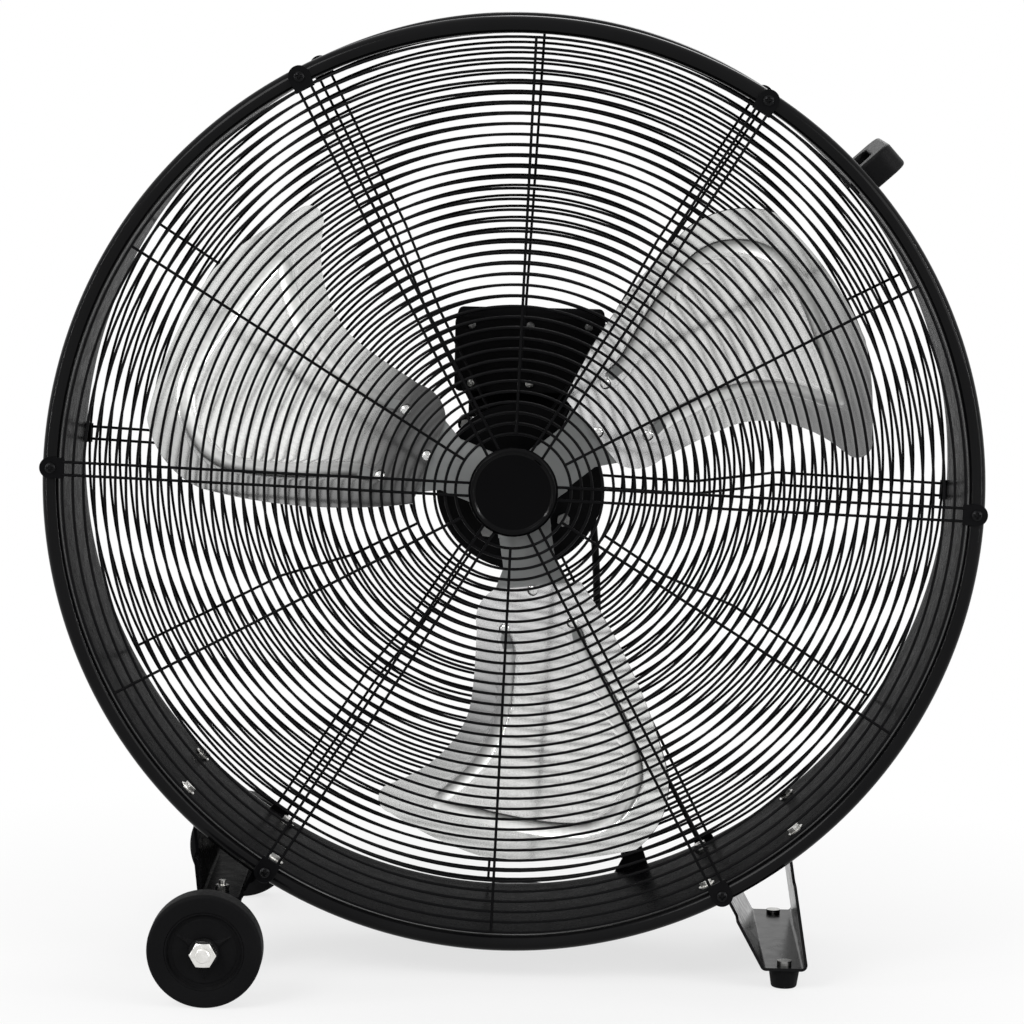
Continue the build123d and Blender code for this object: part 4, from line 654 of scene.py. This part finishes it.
grip_plastic = coated("grained grip plastic", *soft_black, (0.34, 0.50), 0.09, 520.0, 0.45, 0.03)
tyre_rubber = coated("tyre rubber", *worn_black, (0.50, 0.68), 0.05, 320.0, 0.30, 0.03)
foot_rubber = coated("foot rubber", *soft_black, (0.55, 0.75), 0.06, 320.0, 0.35)
cord_sheath = coated("black cord sheath", *soft_black, (0.34, 0.48), 0.10, 380.0, 0.20)
can_shell = coated("white capacitor shell", *off_white, (0.30, 0.42), 0.5, 200.0, 0.10)
zinc_plate = bare_metal("zinc plate", (0.62, 0.61, 0.58), (0.86, 0.855, 0.83), (0.22, 0.40), 120.0, 0.20)
rivet_metal = bare_metal("rivet aluminium", (0.70, 0.70, 0.69), (0.92, 0.92, 0.91), (0.12, 0.22), 160.0, 0.10)
dull_screw = bare_metal("dull screw steel", (0.10, 0.10, 0.10), (0.22, 0.22, 0.215), (0.24, 0.40), 220.0, 0.20)
bolt_plate = bare_metal("dulled bolt plate", (0.24, 0.24, 0.23), (0.40, 0.40, 0.385), (0.24, 0.40), 160.0, 0.20)
dark_screw = bare_metal(
    "blackened screw steel", (0.006, 0.006, 0.0065), (0.016, 0.016, 0.0165), (0.22, 0.36), 220.0, 0.20
)
bearing_steel = bare_metal(
    "ground bearing steel", (0.42, 0.42, 0.43), (0.60, 0.60, 0.61), (0.14, 0.28), 140.0, 0.15
)
core_steel = bare_metal("stacked core steel", (0.14, 0.14, 0.15), (0.24, 0.24, 0.25), (0.35, 0.55), 260.0, 0.40)
winding_copper = bare_metal("winding copper", (0.42, 0.17, 0.07), (0.62, 0.28, 0.12), (0.24, 0.40), 300.0, 0.50)

finishes = {
    shade_copy_paint: ["axle_hanger", "wheel_leg"],
    leg_paint: ["foot_leg"],
    wire_paint: ["cap_backplate", "motor_mount_ring", "cord_clip"],
    motor_paint: ["motor_front_cover", "motor_rear_cover"],
    spider_paint: ["blade_spider"],
    box_plastic: ["control_box", "control_box_cover"],
    knob_plastic: ["speed_switch", "speed_knob", "cable_gland"],
    grip_plastic: ["handle"],
    foot_rubber: ["front_foot", "rear_foot"],
    can_shell: ["run_capacitor"],
    dark_screw: ["handle_screws", "cap_screw", "axle_washers"],
    dull_screw: ["motor_mount_bolts"],
    bolt_plate: ["foot_screws"],
    zinc_plate: ["leg_bolts", "leg_nuts", "hanger_bolts", "hanger_nuts",
                 "axle", "axle_sleeves", "axle_nuts", "motor_tie_bolts", "hub_set_screw"],
    bearing_steel: ["motor_bearings", "motor_shaft"],
    core_steel: ["stator_core", "motor_rotor"],
    winding_copper: ["stator_windings"],
    plug_finish(): ["plug"],
}
for finish, names in finishes.items():
    for name in names:
        for holder in nodes[name].material_slots:
            holder.material = finish

# ---------------------------------------------------------------- drum and grilles

# The drum's profile is both rims' curls, joined by the outer wall and by the inner wall, which comes last.
drum_steps = 288
curl = np.radians(np.linspace(180.0, 501.8, 30))
front_curl = np.stack([rim_radius + curl_radius * np.cos(curl), curl_radius * np.sin(curl) - curl_depth], -1)
rear_curl = (front_curl * (1, -1))[::-1]
drum_profile = np.concatenate([front_curl, rear_curl])
drum_skin = piece(
    "drum_skin", [turned(drum_profile, drum_steps)], drum_paint, "frame", ["drum_shell"]
)
# The inner wall takes the painted-shade copy of the drum paint.
second_finish(drum_skin, shade_copy_paint, -drum_steps, None)

sixths = np.arange(6) * 60.0
round_way = (0.0, 0.0, 1.0)
tab_face, tab_back = 102.0, 100.0
dish_slope, dish_bend = 0.75, 6.0
dish_brim, dish_wall = 225.0, 150.0
dish_sink, single_shift = 4.0, 1.65


def radial(radii_and_depths):
    """Points of a spoke at angle 0 from (radius, depth)."""
    spots = np.asarray(radii_and_depths, float)
    return np.column_stack([spots[:, 0], spots[:, 1], np.full(len(spots), axis_height)])


def pair_of(route):
    """Both legs of a double spoke, each half the pair's width from the spoke's line."""
    return [bar(radial(route) + (0, 0, side * pair_offset), round_way, wire_radius) for side in (-1, 1)]


front_single = bar(radial([(ring_radii[0], -single_depth), (ring_last, -single_depth)]), round_way, wire_radius)
piece(
    "front_rings",
    [wire_rings(ring_radii, np.full(ring_count, -ring_depth)), spun(front_single, front_turn + 30 + sixths)],
    wire_paint, "frame", ["front_grille"],
)
front_pair = pair_of([(30.0, -pair_depth), (ring_last, -pair_depth)]) + [tab_plate(-tab_face, -tab_back)]
piece(
    "front_pairs", [spun(part, front_turn + sixths) for part in front_pair],
    wire_paint, "frame", ["front_grille_spokes"],
)
rear_flat = ring_radii[dish_count:]
short_single = bar(radial([(rear_flat[0], single_depth), (ring_last, single_depth)]), round_way, wire_radius)
piece(
    "rear_rings",
    [wire_rings(rear_flat, np.full(len(rear_flat), ring_depth)), spun(short_single, rear_turn + 30 + sixths)],
    wire_paint, "frame", ["rear_grille"],
)
dish_radii = ring_radii[dish_first:dish_count]
dish_depths = np.clip((dish_radii - dish_wall) / dish_slope - dish_sink, -wire_radius, ring_depth)
dish_single = filleted(
    [(dish_radii[0], dish_floor), (dish_wall + single_shift, dish_floor),
     (dish_brim + single_shift, single_depth), (rear_flat[0] - 2 * wire_radius, single_depth)],
    [0, dish_bend, dish_bend, 0], closed=False,
)
dish_bar = bar(radial(dish_single), round_way, wire_radius)
piece(
    "rear_dish_rings",
    [wire_rings(dish_radii, dish_depths, 144), spun(dish_bar, rear_turn + 30 + sixths)],
    wire_paint, "frame", ["rear_dish"],
)
rear_pairs = [spun(tab_plate(tab_back, tab_face), rear_turn + sixths)]
for turn in rear_turn + sixths:
    slant = math.radians(turn)
    along = motor_place[0] * math.cos(slant) + motor_place[2] * math.sin(slant)
    across = motor_place[2] * math.cos(slant) - motor_place[0] * math.sin(slant)
    for side in (-pair_offset, pair_offset):
        start = along + math.sqrt(motor_ring**2 - (side - across) ** 2)
        route = filleted(
            [(start, wire_radius), (dish_wall, wire_radius), (dish_brim, pair_depth), (ring_last, pair_depth)],
            [0, dish_bend, dish_bend, 0], closed=False,
        )
        rear_pairs.append(spun(bar(radial(route) + (0, 0, side), round_way, wire_radius), [turn]))
piece("rear_pairs", rear_pairs, wire_paint, "frame", ["rear_grille_spokes"])

# The cap's disc lies a little behind its raised edge; the second to the 24th row of faces are the edge.
cap_steps = 128
cap_disc, cap_stud = -107.3, -98.5
cap_profile = filleted(
    [(20.0, cap_disc), (31.0, cap_disc), (32.6, -108.6), (34.4, -108.6), (36.6, -106.2), (36.6, -102.4),
     (6.0, -102.4), (6.0, cap_stud)],
    [0, 0.6, 0.6, 1.0, 1.0, 0.3, 0.3, 0], closed=False,
)
cap_face = piece(
    "cap_face", [turned(cap_profile, cap_steps, poles=(cap_disc, cap_stud))],
    cap_plastic, "frame", ["centre_cap"],
)
second_finish(cap_face, cap_edge, cap_steps, 24 * cap_steps)


def screw_heads(places, face, way, radius, height, steps=48):
    """Screw heads with a cross recess, facing along Y: over a polar grid the dome falls with the square of
    the radius, and the recess is a smooth step of the distance inside the nearer arm of the cross. The
    last row is sunk under the face."""
    under = -0.4
    arm_half, arm_length = 0.17 * radius, 0.62 * radius
    reach = np.concatenate([np.linspace(0.06, 1, 15), [1.0]])[:, None] * radius
    turn = (np.arange(steps) * 2 * np.pi / steps)[None]
    x, z = reach * np.cos(turn), reach * np.sin(turn)
    arm = np.minimum(arm_half - np.abs(x), arm_length - np.abs(z))
    arm = np.maximum(arm, np.minimum(arm_half - np.abs(z), arm_length - np.abs(x)))
    rise = height * (1 - 0.55 * (reach / radius) ** 2) - 0.5 * height * soft_step(arm / (0.1 * radius) + 0.5)
    rise[-1] = under
    spots = np.stack([x, rise, z], -1).reshape(-1, 3)
    spots = np.concatenate([spots, [(0, 0.5 * height, 0), (0, under, 0)]])
    groups = capped_grid(len(reach), steps)
    return [outward(np.array([x, face, z]) + spots * (1, way, 1), groups) for x, z in places]


def rim_places(turn):
    """The six screw places on the rim's curl."""
    angle = np.radians(turn + sixths)
    return np.stack([rim_radius * np.cos(angle), axis_height + rim_radius * np.sin(angle)], -1)


for side, turn, way in (("front", front_turn, -1), ("rear", rear_turn, 1)):
    piece(
        f"{side}_tab_screws", screw_heads(rim_places(turn), tab_face * way, way, 4.25, 3.0),
        dark_screw, "frame", [f"{side}_grille_screws"], sharp=50.0,
    )
cover_x, cover_y, motor_height = 10.5, 11.5, axis_height + motor_place[2]
cover_places = [
    (cover_x + across, motor_height + level) for level in (85.0, 134.0) for across in (-49.0, 0.0, 49.0)
]
cover_screws = piece(
    "cover_screw_heads", screw_heads(cover_places, cover_y, -1, 3.4, 2.4),
    bolt_plate, "frame", ["control_box_screws"], sharp=50.0,
)
second_finish(cover_screws, dull_screw, len(cover_screws.data.polygons) // 2, None)

# ---------------------------------------------------------------- blades

blade_surface, blade_flat, blade_panel, blade_crease = blade_sheet()
# Three lit and shaded copies of one blade finish: each blade's tone, dark root and border shade are painted
# light and shade as lit at rest, and they turn with the rotor.
blade_metals = [
    blade_finish("blade sheet with painted shade, dim", 0.82, 0.70, 0.25, (0.17, 0.23), (0.06, -0.12)),
    blade_finish("blade sheet with painted shade, bright", 1.0, 0.12, 0.35, (0.40, 0.18), (0.03, 0.055)),
    blade_finish("blade sheet with painted shade, mid", 0.92, 0.74, 0.36, (0.25, 0.19), (-0.02, -0.04)),
]
for name, turn, metal in zip(("blade_1", "blade_2", "blade_3"), blade_turns, blade_metals):
    verts, groups = spun(blade_surface, [turn])
    blade = piece(
        f"pressed_{name}", [(verts + motor_place, groups)],
        metal, "rotor", [name], sharp=50.0, uv=blade_flat,
    )
    for label, values in (("panel", blade_panel), ("crease", blade_crease)):
        share = blade.data.attributes.new(label, "FLOAT", "POINT")
        share.data.foreach_set("value", values.astype(np.float32))


def rivet_heads(radius=4.8, dome=2.2, skirt=0.4, brim=0.3, under=-0.9, steps=28):
    """Domed rivet heads: a flattened half sphere about the sheet's normal at each rivet, with a flat
    underside inside the sheet."""
    climb = np.radians(np.linspace(90, 0, 9))[1:-1]
    reach = np.concatenate([radius * np.cos(climb), [radius, radius]])[:, None]
    high = np.concatenate([skirt + dome * np.sin(climb), [brim, under]])[:, None]
    turn = (np.arange(steps) * 2 * np.pi / steps)[None]
    spots = np.stack([reach * np.cos(turn), reach * np.sin(turn), high * np.ones_like(turn)], -1).reshape(-1, 3)
    spots = np.concatenate([spots, [(0, 0, skirt + dome), (0, 0, under)]])
    groups = capped_grid(len(reach), steps)
    heads = []
    for length, width in ((82.5, 0.0), (112.5, 29.0), (113.0, -28.0)):
        depth = bent(width)
        lean = np.array([0.0, depth - bend_depth, width - bend_width]) / bend_radius
        across = np.array([0.0, -lean[2], lean[1]])
        place = np.array([length, depth, axis_height + width])
        verts = place + spots[:, :1] * (1, 0, 0) + spots[:, 1:2] * across - spots[:, 2:] * lean
        heads.append(outward(verts, groups))
    return heads


rivets = [spun(head, blade_turns) for head in rivet_heads()]
piece(
    "rivet_heads", [(verts + motor_place, groups) for verts, groups in rivets],
    rivet_metal, "rotor", ["blade_rivets"],
)

# ---------------------------------------------------------------- wheels


def wheel_core(way, steps=144, bore=8.4, rim=31.9):
    """Wheel core: a loop of (radius, depth) lines over a polar grid. The outer face has a ring groove and
    three recesses, each the part of the face inside a circle about a point beyond the rim; the inner
    face is a plain web."""
    soft = 1.4
    groove_inner, groove_outer, groove_depth = 25.6, 29.4, 3.2
    circle_place, circle_radius = 58.85, 51.45
    face = np.linspace(bore, rim, 48)[:, None]
    turn = (np.arange(steps) * 2 * np.pi / steps)[None]
    past_inner = soft_step((face - groove_inner) / soft)
    groove = past_inner * (1 - soft_step((face - groove_outer) / soft))
    lobe = np.radians([90.0, 210.0, 330.0])[:, None, None]
    away_x = face * np.cos(turn) - circle_place * np.cos(lobe)
    away_z = face * np.sin(turn) - circle_place * np.sin(lobe)
    lens = (circle_radius - np.hypot(away_x, away_z)).max(0)
    dip = groove_depth * groove + (1 - past_inner) * (0.5 + 2.2 * soft_step(lens / soft + 0.5))
    web = 190.5
    back = np.array([(rim, wheel_inner), (28.0, web), (16.0, web), (13.0, wheel_inner), (bore, wheel_inner)])
    radius = np.concatenate([face, back[:, :1]]) * np.ones_like(turn)
    depth = np.concatenate([wheel_outer - dip, back[:, 1:] * np.ones_like(turn)])
    verts = np.stack([axle_x + radius * np.cos(turn), way * depth, axle_z + radius * np.sin(turn)], -1)
    return outward(verts.reshape(-1, 3), [grid_quads(len(radius), steps, close_rows=True, close_cols=True)])


tyre_inner, tyre_outer = 32.0, 46.6
tyre_corners = np.array([
    (tyre_inner, wheel_inner), (tyre_outer, wheel_inner), (tyre_outer, wheel_outer), (tyre_inner, wheel_outer),
])
for side, way in (("front", -1), ("rear", 1)):
    tyre = filleted(tyre_corners * (1, way), [0.8, 3.5, 3.5, 0.8])
    piece(
        f"{side}_tyre_ring", [turned(tyre, 120, centre=(axle_x, axle_z))],
        tyre_rubber, f"{side}_wheel", [f"{side}_wheel_tyre"],
    )
    piece(
        f"{side}_wheel_face", [wheel_core(way)],
        tyre_rubber, f"{side}_wheel", [f"{side}_wheel_core"], sharp=40.0,
    )

# ---------------------------------------------------------------- mains cord

# The route comes down beside the motor, over the rim and into the coil. The coil is half turns between
# stations of (reach in front of the coil's middle, height), and the last points run to the plug.
coil_x, coil_y = 10.0, 162.0
lower, upper = 4.4, 11.4
cord_route = [
    (59.5, 98, 449.3), (59.5, 98, 416), (66, 98.5, 374), (71, 99, 328), (73, 101, 280), (76, 107, 232),
    (82, 113.5, 186), (92, 115, 138), (105, 114, 92), (105, 114, 54), (100, 115, 31), (80, 114.5, 11.5),
    (50, 114, lower), (16.5, 114, lower),
]
coil_stations = np.array([
    (48, lower), (-48, lower), (41, lower), (-41, lower), (34, lower), (-34, lower),
    (27, upper), (-41, upper), (34, upper), (-48, upper), (41, upper),
])
turn = np.pi * np.arange(12) / 12
for count, ((reach, low), (next_reach, high)) in enumerate(zip(coil_stations, coil_stations[1:])):
    middle, radius = (reach + next_reach) / 2, (reach - next_reach) / 2
    side = -abs(radius) if count % 2 == 0 else abs(radius)
    cord_route += np.stack([
        coil_x + side * np.sin(turn),
        coil_y - middle - radius * np.cos(turn),
        low + (high - low) * turn / np.pi,
    ], -1).tolist()
cord_route += [(coil_x, 121, upper), (-8, 121, upper), (-27, 121, upper)]

cord_line = bpy.data.curves.new("mains_cord", "CURVE")
cord_line.dimensions = "3D"
cord_line.bevel_depth = 3.25 * MM
cord_line.bevel_resolution = 4
cord_line.use_fill_caps = True
run = cord_line.splines.new("NURBS")
run.points.add(len(cord_route) - 1)
run.points.foreach_set("co", np.column_stack([np.array(cord_route) * MM, np.ones(len(cord_route))]).ravel())
run.order_u = 3
run.use_endpoint_u = True
run.resolution_u = 6
cord_line.materials.append(cord_sheath)
mains_cord = bpy.data.objects.new("mains_cord", cord_line)
bpy.context.scene.collection.objects.link(mains_cord)
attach(mains_cord, "frame")
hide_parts("power_cord", "cord_coil")
coil_strap = piece("coil_strap", [strap_loop()], cord_sheath, "frame", ["cord_tie"])

# ---------------------------------------------------------------- floor, light and camera


def white_for_eye(tree):
    """1 for camera, glossy and transmission rays, 0 for the rest."""
    path = tree.nodes.new("ShaderNodeLightPath")
    mirror = maths(tree, "MAXIMUM", path.outputs["Is Glossy Ray"], path.outputs["Is Transmission Ray"])
    return maths(tree, "MAXIMUM", path.outputs["Is Camera Ray"], mirror)


def pale_floor():
    """Floor: a disc of rings, pale near the fan so that it takes the shadow, and white further out."""
    steps, level = 96, -0.0003
    reach = np.array([0.4, 1.0, 2.0, 4.0, 8.0])[:, None]
    turn = np.arange(steps) * 2 * np.pi / steps
    verts = np.stack([reach * np.cos(turn), reach * np.sin(turn), np.full((len(reach), steps), level)], -1)
    verts = np.concatenate([verts.reshape(-1, 3), [(0, 0, level)]])
    mesh = bpy.data.meshes.new("pale_floor")
    quads = grid_quads(len(reach), steps, close_cols=True)
    faces = quads.tolist() + fan(len(verts) - 1, np.arange(steps)).tolist()
    mesh.from_pydata(verts.tolist(), [], faces)
    material = bpy.data.materials.new("pale floor")
    material.use_nodes = True
    tree = material.node_tree
    tree.nodes.clear()
    matt = tree.nodes.new("ShaderNodeBsdfDiffuse")
    matt.inputs["Color"].default_value = (0.93, 0.93, 0.93, 1)
    glow = tree.nodes.new("ShaderNodeEmission")
    tree.links.new(white_for_eye(tree), glow.inputs["Strength"])
    place = tree.nodes.new("ShaderNodeTexCoord")
    length = tree.nodes.new("ShaderNodeVectorMath")
    length.operation = "LENGTH"
    tree.links.new(place.outputs["Object"], length.inputs[0])
    mix = tree.nodes.new("ShaderNodeMixShader")
    tree.links.new(spread(tree, length.outputs["Value"], 0.25, 0.75, 0.72, 1.0), mix.inputs[0])
    tree.links.new(matt.outputs[0], mix.inputs[1])
    tree.links.new(glow.outputs[0], mix.inputs[2])
    tree.links.new(mix.outputs[0], tree.nodes.new("ShaderNodeOutputMaterial").inputs["Surface"])
    mesh.materials.append(material)
    floor = bpy.data.objects.new("pale_floor", mesh)
    bpy.context.scene.collection.objects.link(floor)


def white_room():
    """World: white where it is seen or mirrored, and a softer light on everything else."""
    world = bpy.data.worlds.new("white room")
    bpy.context.scene.world = world
    world.use_nodes = True
    tree = world.node_tree
    backdrop = tree.nodes["Background"]
    backdrop.inputs["Color"].default_value = (1, 1, 1, 1)
    tree.links.new(spread(tree, white_for_eye(tree), 0, 1, 0.55, 1.0), backdrop.inputs["Strength"])


def soft_lamp(name, place, width, height, power, target=(0, 0, 0.4)):
    """Soft box that faces the fan."""
    lamp = bpy.data.lights.new(name, "AREA")
    lamp.shape = "RECTANGLE"
    lamp.size = width
    lamp.size_y = height
    lamp.energy = power
    thing = bpy.data.objects.new(name, lamp)
    thing.location = place
    thing.rotation_euler = (Vector(target) - Vector(place)).to_track_quat("-Z", "Y").to_euler()
    bpy.context.scene.collection.objects.link(thing)


pale_floor()
white_room()
soft_lamp("key_box", (-1.9, -2.6, 2.6), 1.4, 1.4, 46)
soft_lamp("fill_box", (2.4, -2.0, 1.6), 1.6, 1.6, 22)
soft_lamp("back_box", (0.6, 2.6, 2.4), 1.6, 1.6, 26)
soft_lamp("left_strip", (-2.2, -1.0, 0.6), 0.03, 2.0, 13)
soft_lamp("right_strip", (2.2, -1.0, 0.6), 0.03, 2.0, 13)

# The camera's turn: yaw about Z, then pitch down, then roll about its own axis.
yaw, pitch, roll = np.radians([0.5433, 7.8197, 1.1949])
level_x = np.array([math.cos(yaw), math.sin(yaw), 0])
level_y = np.array([-math.sin(yaw), math.cos(yaw), 0])
level_z = np.array([0, 0, 1.0])
up_tilted = math.sin(pitch) * level_y + math.cos(pitch) * level_z
ahead = math.cos(pitch) * level_y - math.sin(pitch) * level_z
right = math.cos(roll) * level_x + math.sin(roll) * up_tilted
up = -math.sin(roll) * level_x + math.cos(roll) * up_tilted
camera_data = bpy.data.cameras.new("front_camera")
camera_data.lens = 144.92
camera_data.sensor_width = 36.0
camera = bpy.data.objects.new("front_camera", camera_data)
facing = Matrix(np.column_stack([right, up, -ahead]).tolist()).to_4x4()
camera.matrix_world = Matrix.Translation((0.03088, -3.42976, 0.85035)) @ facing
bpy.context.scene.collection.objects.link(camera)
bpy.context.scene.camera = camera
bpy.context.scene.view_settings.view_transform = "Standard"
